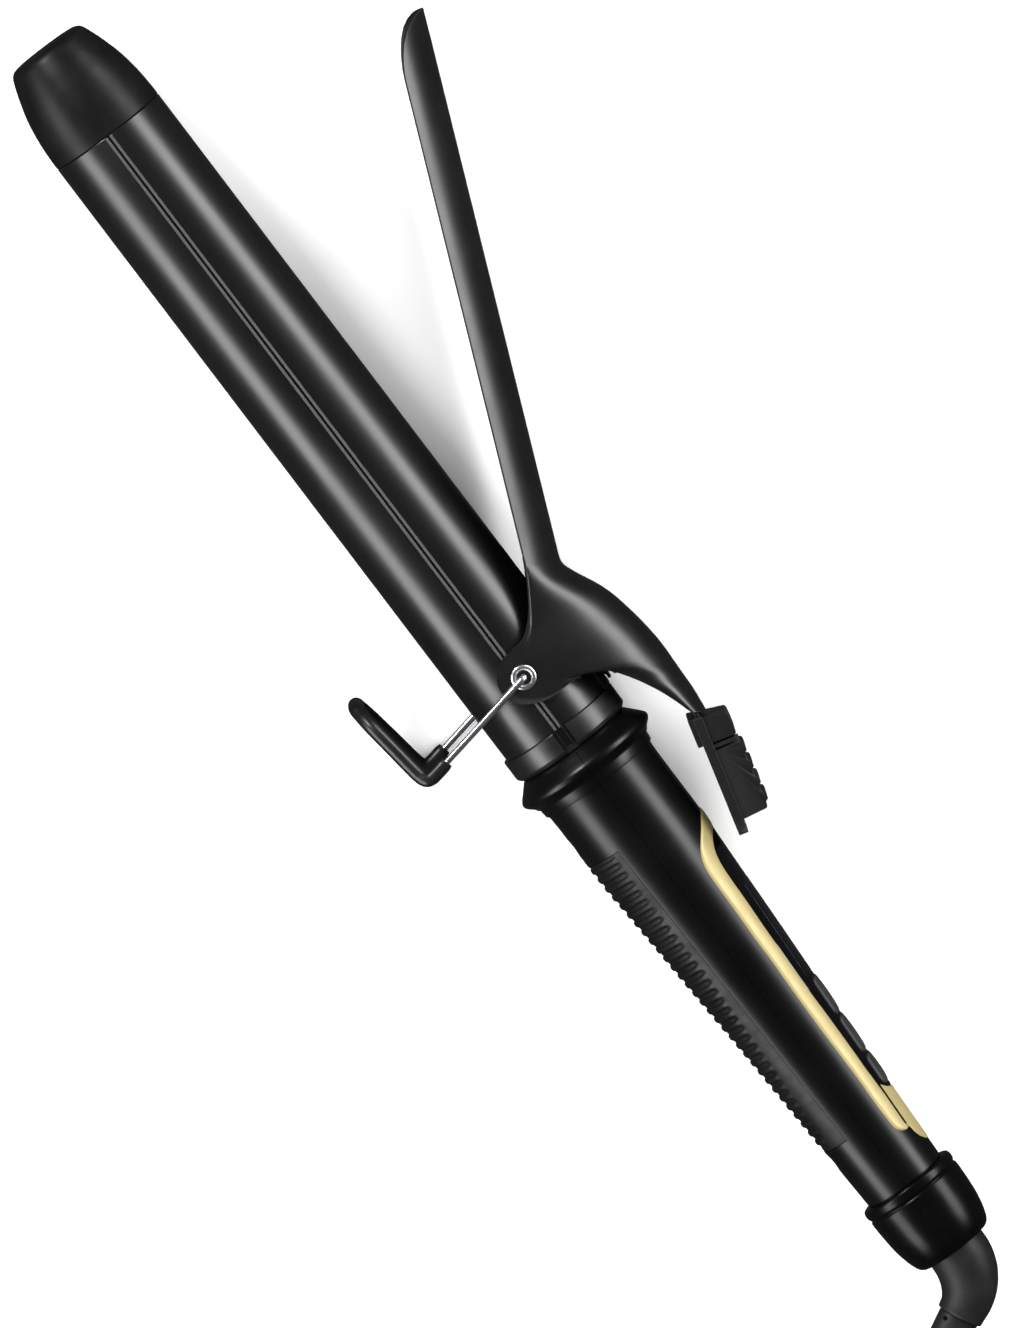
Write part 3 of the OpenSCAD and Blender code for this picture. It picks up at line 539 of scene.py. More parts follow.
def build_barrel():
    nose = smooth([(-26.66, 4), (-26.5, 8.2), (-26.0, 10.1), (-24.9, 11.15), (-22.9, 12.0),
                   (-20.4, 12.9), (-17.8, 13.7), (-15.3, 14.4), (-12.7, 14.95), (-10.2, 15.35),
                   (-7.6, 15.65), (-5.1, 15.85), (-2.5, 15.95), (-0.35, 15.99)], 5)
    tip = [(-26.7, 0)] + nose + [(-0.1, 15.93), (0, 15.75), (0, 14.7), (9, 14.7), (9, 12.6),
                                 (-3, 12.6), (-17, 10.6), (-23.5, 8.4), (-23.7, 0)]
    finish(merged("tip", lathe(tip, 160)), "iron", "tip_plastic", "cool_tip")
    skin = [(0.08, 15.72), (0.2, 15.9), (0.4, BARREL_R), (100, BARREL_R), (TUBE_END, BARREL_R),
            (TUBE_END, 15.4), (0.08, 15.4)]
    core = [(0.08, 15.5), (TUBE_END, 15.5), (TUBE_END, 14.8), (0.08, 14.8)]
    finish(merged("barrel_tube", lathe(skin, 240, *open_at_top(STRIP_HALF)), lathe(core, 96)),
           "iron", "barrel_coating", "barrel", bevel=0.06)
    rail = [(0.25, 15.5), (0.25, 15.97), (100, 15.97), (189, 15.97), (189, 15.5)]
    floor = [(x, 15.45 if r > 15.6 else 15) for x, r in rail]
    finish(merged("barrel_inlay", lathe(rail, 6, 90 - STRIP_HALF + 0.1, RAIL_WIDE),
                  lathe(rail, 6, 90 + STRIP_HALF - RAIL_WIDE - 0.1, RAIL_WIDE),
                  lathe(floor, 6, 90 - STRIP_HALF + RAIL_WIDE, 2 * (STRIP_HALF - RAIL_WIDE))),
           "iron", "strip_metal", "barrel_strip", bevel=0.18)
    ring = [(189, 16.03), (189, 16.5), (189.12, 16.75), (189.4, 16.9), (194.3, 16.9),
            (194.7, 16.82), (195.5, 16.1), (195.6, 15.9), (195.6, 15.4), (194.15, 15.4),
            (194.15, 16.03)]
    inner = [(195.6, 12.95), (199.1, 12.95), (199.1, 11.8), (202, 11.8), (202, 12.95),
             (207, 12.95), (207, 10.6), (180, 10.6), (180, 14.77), (194.05, 14.77),
             (194.05, 15.9), (195.6, 15.9)]
    finish(merged("base_collar", lathe(ring, 200, *open_at_top(NOTCH_HALF)), lathe(inner, 120)),
           "iron", "base_plastic", "barrel_base", bevel=0.1)
    seat = [(178.4, 16.02), (178.4, 16.9), (178.7, 17.1), (188.5, 17.1), (188.9, 16.9),
            (188.9, 16.02)]
    up = Matrix.Translation((183.6, 16.5, 0)) @ Matrix.Rotation(pi / 2, 4, "Z")
    stub = moved(lathe([(0, 0), (0, 3), (1.9, 3), (2.2, 2.7), (2.2, 0)], 40), up)
    finish(merged("seat", lathe(seat, 40, -24, 48), stub), "iron", "base_plastic",
           "spring_seat", bevel=0.15)
    flare = [(9, 0.92), (9, 2.2), (17.14, 2.2), (17.14, 3.16), (17.22, 3.28), (17.36, 3.26),
             (17.52, 3.1), (17.64, 2.8), (17.66, 2.5), (17.58, 2.2), (17.38, 1.95),
             (17.05, 1.78), (16.4, 1.66), (14.8, 1.6), (14.8, 0.92)]
    shapes = []
    for side in (1, -1):
        v, f = lathe(flare, 72)
        shapes.append(([(z, y, side * x) for x, y, z in v], f))
    finish(merged("eyelets", *shapes, place=AT_PIVOT), "iron", "eyelet_chrome", "pivot_eyelets")


# ---- clamp ----
# sections of the lever from the blade's end: crown, foot, half width, share of its own shape
VAULT = [(-26.9, 16.1, -26.9, 7.55, 14.8, 0), (-24.6, 17, -23.8, 7.1, 15.08, 0.35),
         (-21.3, 19.8, -18.5, 6.4, 15.42, 0.8), (-16, 24.9, -12.4, 5.6, 15.8, 1),
         (-8, 30.8, -4.6, 5.4, 17.05, 1), (-1, 34.8, 2.2, 8.6, 17.1, 1),
         (3.6, 36.9, 2.9, 14, 16.3, 1), (7.6, 38.4, 3.6, 20.6, 14.8, 1),
         (11.2, 39.8, 6.8, 26.1, 13.2, 1), (14.6, 41.1, 11.2, 31.5, 12.0, 1),
         (17.8, 42.1, 15.3, 35.5, 11.1, 1), (20.6, 42.9, 19.4, 38.9, 10.4, 1)]
# the ear's edge beside each of those sections' feet, from the blade's end to the lever's rear
EAR = [[(-26.9, 7.34), (-25.4, 7.22), (-23.9, 7.03)],
       [(-23.9, 7.03), (-21, 6.6), (-18.3, 6.05)],
       [(-18.3, 6.05), (-16, 5.45), (-13.6, 4.6), (-11.2, 3.4)],
       [(-11.2, 3.4), (-9.5, 2.1), (-8.3, 0.4), (-7.4, -1.4), (-6.4, -3.2), (-4.9, -4.9),
        (-2.6, -6.4), (0, -6.9)],
       [(0, -6.9), (2.6, -6.4), (4.9, -4.9), (6.4, -2.6), (7.0, 0), (7.1, 3), (6.7, 5.4),
        (5.9, 7.4)],
       [(5.9, 7.4), (5, 9.4), (3.9, 11.8), (2.9, 14)]]
PER_SECTION = 14
# the height above the pivot of the blade's side edge near its rounded end
TIP_CUT = [(-170, 15.9), (-169.6, 14.9), (-169.1, 13.9), (-167.7, 12.1), (-165.6, 10.4),
           (-162.6, 9), (-159, 8), (-155, 7.45)]
VAULT_COLUMNS = 48
# half the angle of the barrel that the blade covers
BLADE_HALF = 60.8
# quads from the vault's foot to the ear's edge
EAR_DEPTH = 10


def vault_row(crown_x, crown_y, foot_x, foot_y, width, share):
    """One arch of the lever, between the blade's round section and the vault's own."""
    out = []
    for k in range(VAULT_COLUMNS + 1):
        a = pi * k / VAULT_COLUMNS
        b = radians(90 - BLADE_HALF + 2 * BLADE_HALF * k / VAULT_COLUMNS)
        c, v = cos(a), max(sin(a), 0) ** 0.9
        y = foot_y + (crown_y - foot_y) * v
        x = foot_x + (crown_x - foot_x) * v
        z = width * (1 if c > 0 else -1) * abs(c) ** 0.8
        out.append(Vector((crown_x + (x - crown_x) * share,
                           (CLAMP_R * sin(b) - PIVOT.y) * (1 - share) + y * share,
                           CLAMP_R * cos(b) * (1 - share) + z * share)))
    return out


def ease(t):
    t = min(max(t, 0), 1)
    return t * t * (3 - 2 * t)


def ear_z(x, y):
    """Half width of the sheet beside the barrel: round at first, flat about the pivot."""
    off = y + PIVOT.y
    curve = sqrt(max(CLAMP_R ** 2 - off * off, 1))
    return curve + (CLAMP_R - curve) * ease((x + 11) / 6)


def build_clamp():
    blade = []
    # the stations crowd towards the rounded end
    xs = [-170 + 15 * (1 - cos(pi / 2 * i / 14)) for i in range(15)]
    xs += [-155 + 128 * i / 40 for i in range(1, 41)]
    for x in xs:
        low = at(TIP_CUT, x)
        half = min(radians(BLADE_HALF), acos(min((low + PIVOT.y) / CLAMP_R, 1)))
        row = []
        for k in range(VAULT_COLUMNS + 1):
            a = pi / 2 - half * (1 - 2 * k / VAULT_COLUMNS)
            row.append(Vector((x, CLAMP_R * sin(a) - PIVOT.y, CLAMP_R * cos(a))))
        blade.append(row)
    stations = smooth(VAULT, PER_SECTION)
    rows = blade + [vault_row(*s) for s in stations]
    first = len(blade)
    # the sides carry on from the vault's foot to the ear's edge
    count = len(EAR) * PER_SECTION
    ear = [p for part in EAR for p in resample(smooth(part, 4), PER_SECTION)[:-1]]
    ear.append(EAR[-1][-1])
    verts = [p for row in rows for p in row]
    m = VAULT_COLUMNS + 1
    faces = [(i * m + k, i * m + k + 1, (i + 1) * m + k + 1, (i + 1) * m + k)
             for i in range(len(rows) - 1) for k in range(VAULT_COLUMNS)]
    for side, col in ((1, 0), (-1, VAULT_COLUMNS)):
        grid = []
        for i in range(count + 1):
            foot = rows[first + i][col]
            line = [(first + i) * m + col]
            for k in range(1, EAR_DEPTH + 1):
                t = k / EAR_DEPTH
                x = foot.x + (ear[i][0] - foot.x) * t
                y = foot.y + (ear[i][1] - foot.y) * t
                z = abs(foot.z) + (ear_z(x, y) - abs(foot.z)) * ease(t * 2.2)
                verts.append(Vector((x, y, side * z)))
                line.append(len(verts) - 1)
            grid.append(line)
        for a, b in zip(grid, grid[1:]):
            faces += [(a[k], a[k + 1], b[k + 1], b[k]) for k in range(EAR_DEPTH)]
    sheet = solid("clamp_sheet", verts, faces, CLAMP, sharp=60)
    m = sheet.modifiers.new("thickness", "SOLIDIFY")
    m.thickness, m.offset, m.use_quality_normals = SHEET * 0.001, -1, True
    finish(sheet, "clamp", "clamp_coating", bevel=0.14, segments=3, angle=50)
    tongue = solid("clamp_tongue", *box_shape(-1.5, 19.5, 0.8, 2.0, -8.5, 8.5), place=PAD)
    finish(tongue, "clamp", "clamp_coating", bevel=0.2)
    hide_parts("clamp")


PAD = CLAMP @ Matrix.Translation((19.9, 38.7, 0)) @ Matrix.Rotation(radians(8.2), 4, "Z")
PAD_W, PAD_LEN = 22, 34


def build_pad():
    half = PAD_W / 2
    plate = rounded([(1.5, -half, 0.8), (PAD_LEN, -half, 5), (PAD_LEN, half, 5),
                     (1.5, half, 0.8)], 6)
    front = rounded([(1.5, -1.3, 0.4), (3.2, 8.9, 0.6), (6, 9.2, 2), (9, 9.1, 0.5),
                     (9, -1.3, 0.4)], 4)
    rib = rounded([(9.6, 2.3), (9.6, 8.6, 0.4), (10.6, 8.6, 0.4), (10.6, 2.3)], 4)
    block = [(11.2, 2.3), (11.2, 9.2, 0.6)]
    for k in range(4):
        x, rise = 13.2 + 4.5 * k, 0.14 * k
        block += [(x - 1.3, 9.05 + rise, 0.3), (x - 0.8, 9.95 + rise, 0.35),
                  (x + 0.8, 9.95 + rise, 0.35), (x + 1.3, 9.1 + rise, 0.3)]
    block = rounded(block + [(29.6, 9.5, 1.6), (30.1, 2.3)], 4)
    shapes = [upright(plate, 0, 2.5)]
    shapes += [prism(outline, -half + inset, half - inset)
               for outline, inset in ((front, 0.6), (rib, 1.1), (block, 0.7))]
    pad = merged("thumb_rest", *shapes, place=PAD, sharp=30)
    finish(pad, "clamp", "pad_plastic", "thumb_pad", bevel=0.35, segments=3, angle=30)


# ---- stand ----
WIRE_R, SLEEVE_R = 0.85, 1.95
LEG, LEG_AT = 36.5, radians(79.3)
FOOT, FOOT_FLAT, FOOT_AT = 25.3, 18, radians(7.8)
# how far from the plane of symmetry the leg starts and ends, and the foot's flat and tip end
Z_LEG, Z_BEND, Z_FLAT, Z_END = 18.4, 17.1, 13.4, 3.4


def build_stand():
    leg = Vector((cos(LEG_AT), -sin(LEG_AT)))
    foot = Vector((-cos(FOOT_AT), -sin(FOOT_AT)))
    knee = LEG * leg
    half = [(0, 0, 9.5), (0, 0, 13), (0, 0, 16.9), (0, 0, 17.5), (0, 0, 18), (0.13, -0.8, Z_LEG)]
    half += [(t * leg.x, t * leg.y, Z_LEG + (Z_BEND - Z_LEG) * t / LEG)
             for t in (2, 10, 20, 29, 33)]
    near = (LEG - 1.7) * leg
    half += [(near.x - 0.15, near.y, Z_BEND + 0.05), (knee.x - 1.1, knee.y + 0.35, Z_BEND - 0.1)]
    z_knee = Z_BEND - 0.15
    for t in (3.6, 11, 18, 21.2, 23.5, 24.8):
        turned = max(0, t - FOOT_FLAT) / 6.8
        z = z_knee + (Z_FLAT - z_knee) * min(t, FOOT_FLAT) / FOOT_FLAT
        half.append((knee.x + t * foot.x, knee.y + t * foot.y,
                     z - 4.6 * turned * turned - 1.2 * turned))
    end = knee + FOOT * foot
    half.append((end.x, end.y, Z_END))
    path = half + [(x, y, -z) for x, y, z in reversed(half)]
    wire = smooth(path, 5)
    # a little thinner where it turns in the eyelets
    radii = [WIRE_R - (0.05 if abs(p[2]) < 18 and p[1] > -1 else 0) for p in wire]
    finish(merged("stand_rod", sweep_ring(wire, radii, 28, (1, 0, 0)), place=AT_PIVOT, sharp=60),
           "stand", "wire_chrome", "stand_wire")
    cover = smooth(path[9:-9], 8)
    outer = [SLEEVE_R] * len(cover)
    for i, r in enumerate((0.62, 0.86, 0.96)):
        outer[i] = outer[-1 - i] = SLEEVE_R * r
    # the second ring from each end moves close to the first, so that the end's edge is tight
    for first, second in ((0, 1), (-1, -2)):
        cover[second] = tuple(Vector(cover[first]).lerp(Vector(cover[second]), 0.1))
    finish(merged("stand_cover", sweep_ring(cover, outer, 28, (0, 1, 0)), place=AT_PIVOT,
                  sharp=60), "stand", "sleeve_rubber", "stand_sleeve")


# ---- handle ----
FLANGE = HANDLE[:1] + [(196.2, 15.9), (197.4, 17.0), (198.6, 18.1), (199.6, 19.05),
                       (200.4, 19.62), (FLANGE_X, FLANGE_R), (201.6, 19.65), (202.3, 19.05),
                       (203, 18.2), (203.7, 17.6), (204.05, 17.5), (204.15, 16.95), (206.5, 16.72),
                       (206.75, 16.6), (206.8, 16.2), (207.3, 16.12), (208, 16.02)]
TRIM_OUT = [(228.4, 0), (228.8, 2.4), (230, 5.6), (232, 8.5), (234.2, 10.7), (236.8, 12.2),
            (240.5, 12.85), (246, 12.75), (254, 12.45), (262, 12.2), (270, 11.8), (280, 11.45),
            (290, 11.1), (300, 10.7), (306, 10.45), (316, 10.2), (322, 9.9), (323.4, 9.6),
            (324.5, 9.0), (325, 8.3), (325.1, 7.9)]
TRIM_IN = [(233.6, 0), (234, 2.4), (235.2, 5.6), (236.7, 7.6), (238.9, 9.0), (242, 9.6),
           (246, 9.7), (254, 9.5), (262, 9.4), (270, 9.2), (280, 8.9), (290, 8.4), (300, 8.1),
           (306, 8.0), (309, 7.85)]
TRIM_ROWS = 220
PANEL = [(233.6, 0), (233.7, 1.2)] + TRIM_IN[1:] + [(311.6, 6.7), (313.3, 4.7), (314.2, 2.3)]
PLATE_FRONT = [(0, 314.6), (2.6, 314.4), (5, 313.5), (7, 311.8), (7.44, 309.8)]
PLATE_REAR = [(0, 330.8), (1, 330.8), (3.4, 330.3), (5.2, 328.9), (6.1, 327), (6.7, 324),
              (7.2, 316), (7.44, 310.2)]
PLATE_W = 6.8
# how deep the panel, its frame and the end plate reach below the handle's surface
SUNK = -1.25
KEYS = [(280.1, 291.4), (292.1, 303.3), (304, 313)]
KEY_W, KEY_RISE, KEY_GAP = 10.8, 0.55, 0.22
LENS_FROM, LENS_TO, LENS_HALF = 249, 279.2, 6.5
SCREWS = (217, 321.2)
SHELL_GAP = 0.2
RIBS, RIB_FIRST, RIB_PITCH = 32, 224, 2.9
GRIP_FROM, GRIP_TO = 223.3, 317.85


def key_outline(i, grow=0.0):
    x0, x1 = KEYS[i]
    w = KEY_W / 2
    return rounded([(x0 - grow, -w - grow, 2.5), (x1 + grow, -w - grow, 2.5),
                    (x1 + grow, w + grow, 2.5), (x0 - grow, w + grow, 2.5)], 8)


def tool(name, shape):
    """A solid that cut() takes out of another."""
    return solid(name, *shape)


def shell_profile():
    outer = FLANGE + [p for p in BODY_CURVE if p[0] > 209] + [(336.35, 11.1), (336.35, 10.2),
                                                             (343, 10.2)]
    inner = [(343, 8.2), (334.5, 8.2), (334.5, 9.2), (305.4, 10.38), (280, 11.38), (254.5, 12.6),
             (229, 13.75), (209, 13.8), (207.4, 13.2), (201.9, 13), (201.9, 11.9),
             (199.2, 11.9), (199.2, 13), (195.7, 13)]
    return outer + inner


def openings(grow):
    """Tools for the display's window, grown by grow, and the three keys' holes."""
    window = box_shape(LENS_FROM - grow, LENS_TO + grow, 4, 20, -LENS_HALF - grow,
                       LENS_HALF + grow)
    return [tool("window", window)] + [tool(f"hole_{i}", upright(key_outline(i, KEY_GAP), 4, 20))
                                       for i in range(3)]


def build_shells():
    upper = merged("shell_top", lathe(shell_profile(), 140, -90 + SHELL_GAP,
                                      180 - 2 * SHELL_GAP))
    widths = [(228.3, 1.0)] + TRIM_OUT[1:]
    pocket = slab(spread(widths, TRIM_OUT[0][0], TRIM_OUT[-1][0], 60), SUNK - 0.05, 3)
    plate = slab(plate_rows(0.05), SUNK - 0.05, 3)
    tools = [tool("pocket", pocket), tool("plate_pocket", plate)] + openings(-1)
    finish(cut(upper, *tools), "iron", "handle_plastic", "handle_shell_upper", bevel=0.16,
           segments=3, angle=35)
    lower = merged("shell_bottom", lathe(shell_profile(), 140, 90 + SHELL_GAP,
                                         180 - 2 * SHELL_GAP))
    floor = [(x, handle_r(x) - 1.2) for x in (223.2, *range(224, 318, 8), 318)]
    tools = [tool("recess", lathe(floor + [(318, 19), (223.2, 19)], 60, 115, 130))]
    for i, x in enumerate(SCREWS):
        v, f = lathe([(4, 0), (4, 2.9), (20, 2.9), (20, 0)], 48)
        tools.append(tool(f"well_{i}", ([(x + b, -a, c) for a, b, c in v], f)))
    finish(cut(lower, *tools), "iron", "handle_plastic", "handle_shell_lower", bevel=0.16,
           segments=3, angle=35)


# one rib along the handle, as its distance from the handle's surface
RIB = [(0, -0.32), (0.15, -0.27), (0.35, 0.0), (0.6, 0.15), (0.9, 0.2), (1.2, 0.2), (1.5, 0.15),
       (1.75, 0.0), (1.95, -0.27), (2.1, -0.32)]


def build_grip():
    """The ribs stand across the back of the grip and fade out towards its sides."""
    outer = [(GRIP_FROM, handle_r(GRIP_FROM) - 0.05)]
    for i in range(RIBS):
        x = RIB_FIRST + i * RIB_PITCH
        outer += [(x + dx, handle_r(x) + dr) for dx, dr in RIB]
    outer += [(GRIP_TO, handle_r(GRIP_TO) - 0.05)]
    under = [(x, handle_r(x) - 1.15) for x in (GRIP_TO, 305, 290, 275, 260, 245, 235, GRIP_FROM)]
    starts = [(224, 118), (262, 121), (290, 131), (318, 146)]

    def fade(x, angle):
        if not RIB_FIRST <= x < 317.5:
            return 0
        shown = ease((min(angle, 360 - angle) - at(starts, x)) / 9)
        return at(RIB, (x - RIB_FIRST) % RIB_PITCH) * (1 - shown)

    finish(merged("grip", lathe(outer + under, 108, 115.3, 129.4, dent=fade), sharp=50), "iron",
           "grip_rubber", "grip_insert", bevel=0.03)


def plate_rows(grow=0.0):
    """Rows of plan points over the end plate, from one side to the other."""
    rows = []
    for k in range(29):
        z = PLATE_W * sin(pi / 2 * (k / 14 - 1))
        x0, x1 = at(PLATE_FRONT, abs(z)) - grow, at(PLATE_REAR, abs(z)) + grow
        rim = min(RIM, (x1 - x0) / 4)
        xs = [x0] + [x0 + rim + (x1 - x0 - 2 * rim) * j / 14 for j in range(15)] + [x1]
        rows.append([(x, z * (1 + grow / PLATE_W)) for x in xs])
    return rows


def build_trim():
    """The gold frame: one strip round the panel, from hook to hook, with eased edges."""
    out = smooth(TRIM_OUT[1:], 5)
    ins = smooth(TRIM_IN[1:], 5) + [(315, 7.6), (321, 7.6), (324.2, 7.6)]
    outer = [(x, -z) for x, z in reversed(out)] + [(228.25, 0)] + out
    inner = [(x, -z) for x, z in reversed(ins)] + [(233.6, 0)] + ins
    # the strip's section, as share of its width and rise
    profile = [(0, SUNK), (0, 0.1), (0.03, 0.24), (0.09, 0.3), (0.3, 0.34), (0.5, 0.35),
               (0.7, 0.34), (0.91, 0.3), (0.97, 0.24), (1, 0.1), (1, SUNK)]
    rows = [[on_handle(p[0] + (q[0] - p[0]) * t, p[1] + (q[1] - p[1]) * t, rise)
             for t, rise in profile]
            for p, q in zip(resample(inner, TRIM_ROWS), resample(outer, TRIM_ROWS))]
    finish(merged("trim_strip", loft(rows), sharp=45), "iron", "trim_gold", "trim_frame",
           bevel=0.1)
    finish(merged("trim_plate", slab(plate_rows(), SUNK, 0.16), sharp=45), "iron", "trim_gold",
           "trim_end_plate", bevel=0.1)


def dome(i):
    """A key's cap: raised over the handle's surface, falling off towards its rim."""
    outline = key_outline(i)
    middle = sum(KEYS[i]) / 2
    rings = [[(x, 9.0, z) for x, z in outline]]
    for t, drop in ((1, 0.36), (0.985, 0.2), (0.95, 0.1), (0.88, 0.03), (0.7, 0), (0.4, -0.03),
                    (0.12, -0.04)):
        rings.append([on_handle(middle + (x - middle) * t, z * t, KEY_RISE - drop)
                      for x, z in outline])
    return loft(rings)


def build_panel():
    widths = [(x, max(w, 0.3)) for x, w in PANEL]
    # a dark seam runs between the end plate and the frame's hooked ends
    seams = [slab([[(310.4 + 1.35 * i, side * z) for z in (PLATE_W + 0.04, 7.2, 7.56)]
                   for i in range(11)], SUNK, 0.08, 0.02) for side in (-1, 1)]
    finish(merged("seams", *seams), "iron", "panel_black")
    panel = merged("panel", slab(spread(widths, 233.75, 314.1, 70, 0.08), SUNK, 0.1))
    finish(cut(panel, *openings(0.05)), "iron", "panel_black", "control_panel", bevel=0.08)
    flat = LENS_HALF - 0.3
    zs = [-LENS_HALF, -flat] + [flat * k / 8 for k in range(-7, 8)] + [flat, LENS_HALF]
    rows = [[(LENS_FROM + (LENS_TO - LENS_FROM) * i / 30, z) for z in zs] for i in range(31)]
    finish(merged("lens", slab(rows, -1.2, 0.16)), "iron", "lens_dark", "display_lens",
           bevel=0.12)
    for i, (name, body) in enumerate((("power_button", "power_key"), ("plus_button", "plus_key"),
                                      ("minus_button", "minus_key"))):
        x = sum(KEYS[i]) / 2
        v, f = lathe([(8.85, 0), (8.85, 1.5), (10.05, 1.5), (10.05, 0)], 32)
        stem = ([(x + b, a, c) for a, b, c in v], f)
        finish(merged(f"key_{i}", dome(i), stem, sharp=50), body, "key_plastic", name)


# ---- swivel ----
BEND_R, BEND_A, BEND_X = 14, radians(64), 359
OUT = Vector((cos(BEND_A), -sin(BEND_A), 0))
ELBOW_END = Vector((BEND_X + BEND_R * sin(BEND_A), -BEND_R * (1 - cos(BEND_A)), 0)) + 2.2 * OUT
ELBOW_R = 7.98
BOOT_LEN = 34


def build_rear():
    cap = [(336.4, 10.25), (336.4, 12.5)] + smooth(
        [(336.4, 12.5), (336.7, 13.15), (337.3, 13.46), (338.1, 13.52), (338.9, 13.4),
         (339.35, 13.1)], 4)[1:]
    cap += [(339.6, 12.98), (339.85, 13.08)] + smooth(
        [(340.0, 13.25), (340.6, 13.42), (344, 13.32), (348.7, 13.0), (351.8, 12.5),
         (354.2, 11.9), (356, 11.25), (357, 10.6), (357.5, 9.9), (357.6, 9.5)], 5)
    cap += [(357.6, 8.15), (352, 8.15), (352, 10.3), (343.3, 10.3), (343.3, 10.25)]
    cover = merged("rear_cap", lathe(cap, 180), sharp=50)
    slit = tool("slit", box_shape(341, 359, -0.09, 0.09, 12.2, 15))
    finish(cut(cover, slit), "iron", "cap_plastic", "end_cap", bevel=0.08)
    path, radii = [(BEND_X - 0.4, 0, 0)], [ELBOW_R]
    for k in range(31):
        a = BEND_A * k / 30
        path.append((BEND_X + BEND_R * sin(a), -BEND_R * (1 - cos(a)), 0))
        radii.append(ELBOW_R + 0.24 * sin(pi * k / 30) - 1.75 * (k / 30) ** 1.4)
    path += [tuple(ELBOW_END - 0.9 * OUT), tuple(ELBOW_END - 0.25 * OUT), tuple(ELBOW_END)]
    radii += [6.12, 6.05, 5.8]
    shank = lathe([(328.2, 0), (328.2, 3.39), (344.2, 3.39), (344.2, 9.9), (347, 9.9),
                   (347, ELBOW_R), (359.2, ELBOW_R), (359.2, 0)], 80)
    elbow = merged("elbow", sweep_ring(path, radii, 56), shank, sharp=50)
    finish(elbow, "swivel", "swivel_plastic", "swivel_elbow", bevel=0.08)
    boot = [(0, 0), (0, 5.0), (0.25, 5.25), (0.7, 5.3), (8, 5.1), (14.9, 4.68)]
    for k in range(5):
        x, r = 15 + 3.5 * k, 4.66 - 0.17 * k
        boot += [(x, r), (x + 0.15, r - 0.75), (x + 0.5, r - 0.92), (x + 1.1, r - 0.94),
                 (x + 1.45, r - 0.78), (x + 1.6, r - 0.08), (x + 1.85, r - 0.03)]
    boot += [(32.6, 3.98), (33.5, 3.85), (BOOT_LEN, 3.5), (BOOT_LEN, 0)]
    place = LIE @ Matrix.Translation(ELBOW_END) @ Matrix.Rotation(-BEND_A, 4, "Z")
    dimple = lathe([(2.9, 0), (2.9, 0.55), (9, 0.6), (9, 0)], 24)
    dot = solid("dimple", [(1.7 + b, c - 3.3, a) for a, b, c in dimple[0]], dimple[1], place)
    finish(cut(merged("boot", lathe(boot, 72), place=place, sharp=35), dot), "swivel",
           "cord_rubber", "strain_relief", bevel=0.05)


# ---- cord ----
CORD_D = 6.0
# the coil's middle, and its rings and layers
COIL = (446, -75)
COIL_RADII, COIL_HEIGHTS = (29.1, 35.15, 41.2), (3.05, 9.1, 15.15)
# where each turn of the coil lies, as ring and layer
TURNS = [(2, 2), (1, 2), (0, 2), (0, 1), (0, 0), (1, 0), (1, 1), (2, 1), (2, 0)]
# the cord's angles in the coil, in degrees: where it joins, where it first changes place, where it
# leaves, from one change to the next, and how far a change takes it
ENTER, FIRST_CHANGE, LEAVE, STEP, CHANGE = 228, 328, 8 * 360, 300, 60
COIL_POINTS = 265
PLUG_Y, PLUG_Z = 40, 9
BLADE_AT = 6.35
TIE_AT = radians(106)


def build_tie():
    """A strap round the coil's turns, with its buckle and its end on top."""
    place = FLOOR @ Matrix.Translation((*COIL, 0)) @ Matrix.Rotation(TIE_AT, 4, "Z")
    # the strap's outside and inside; it cuts the corner where the coil has no turn
    outer = rounded([(25.6, 0, 3.4), (44.7, 0, 3.4), (44.7, 10.55, 3.4), (36.6, 18.65, 3.4),
                     (25.6, 18.65, 3.4)], 8)
    inner = rounded([(26.1, 0.5, 3), (44.2, 0.5, 3), (44.2, 10.34, 3), (36.4, 18.15, 3),
                     (26.1, 18.15, 3)], 8)
    rows = [[(a[0], -2, a[1]), (a[0], 2, a[1]), (b[0], 2, b[1]), (b[0], -2, b[1])]
            for a, b in zip(outer, inner)]
    band = loft(rows + rows[:1], caps=False)
    buckle = box_shape(30.5, 34.5, -2.9, 2.9, 18.3, 20.3)
    end = box_shape(26.5, 31, -1.9, 1.9, 18.6, 19.1)
    return finish(merged("tie", band, buckle, end, place=place), "swivel", "cord_rubber",
                  bevel=0.2)


def coil_point(angle):
    """Where the cord lies in the coil, angle degrees round it."""
    k = min(max(int((angle - FIRST_CHANGE) // STEP), -1), len(TURNS) - 2)
    s = ease((angle - FIRST_CHANGE - k * STEP) / CHANGE) if k >= 0 else 0
    a, b = TURNS[max(k, 0)], TURNS[k + 1]
    r = COIL_RADII[a[0]] + (COIL_RADII[b[0]] - COIL_RADII[a[0]]) * s
    z = COIL_HEIGHTS[a[1]] + (COIL_HEIGHTS[b[1]] - COIL_HEIGHTS[a[1]]) * s
    t = radians(angle)
    # the turns are a little out of round, except at the two ends
    r += 0.5 * cos(2 * t + 1) * ease((angle - ENTER) / 90) * ease((LEAVE - angle) / 90)
    return (COIL[0] + r * cos(t), COIL[1] + r * sin(t), z)


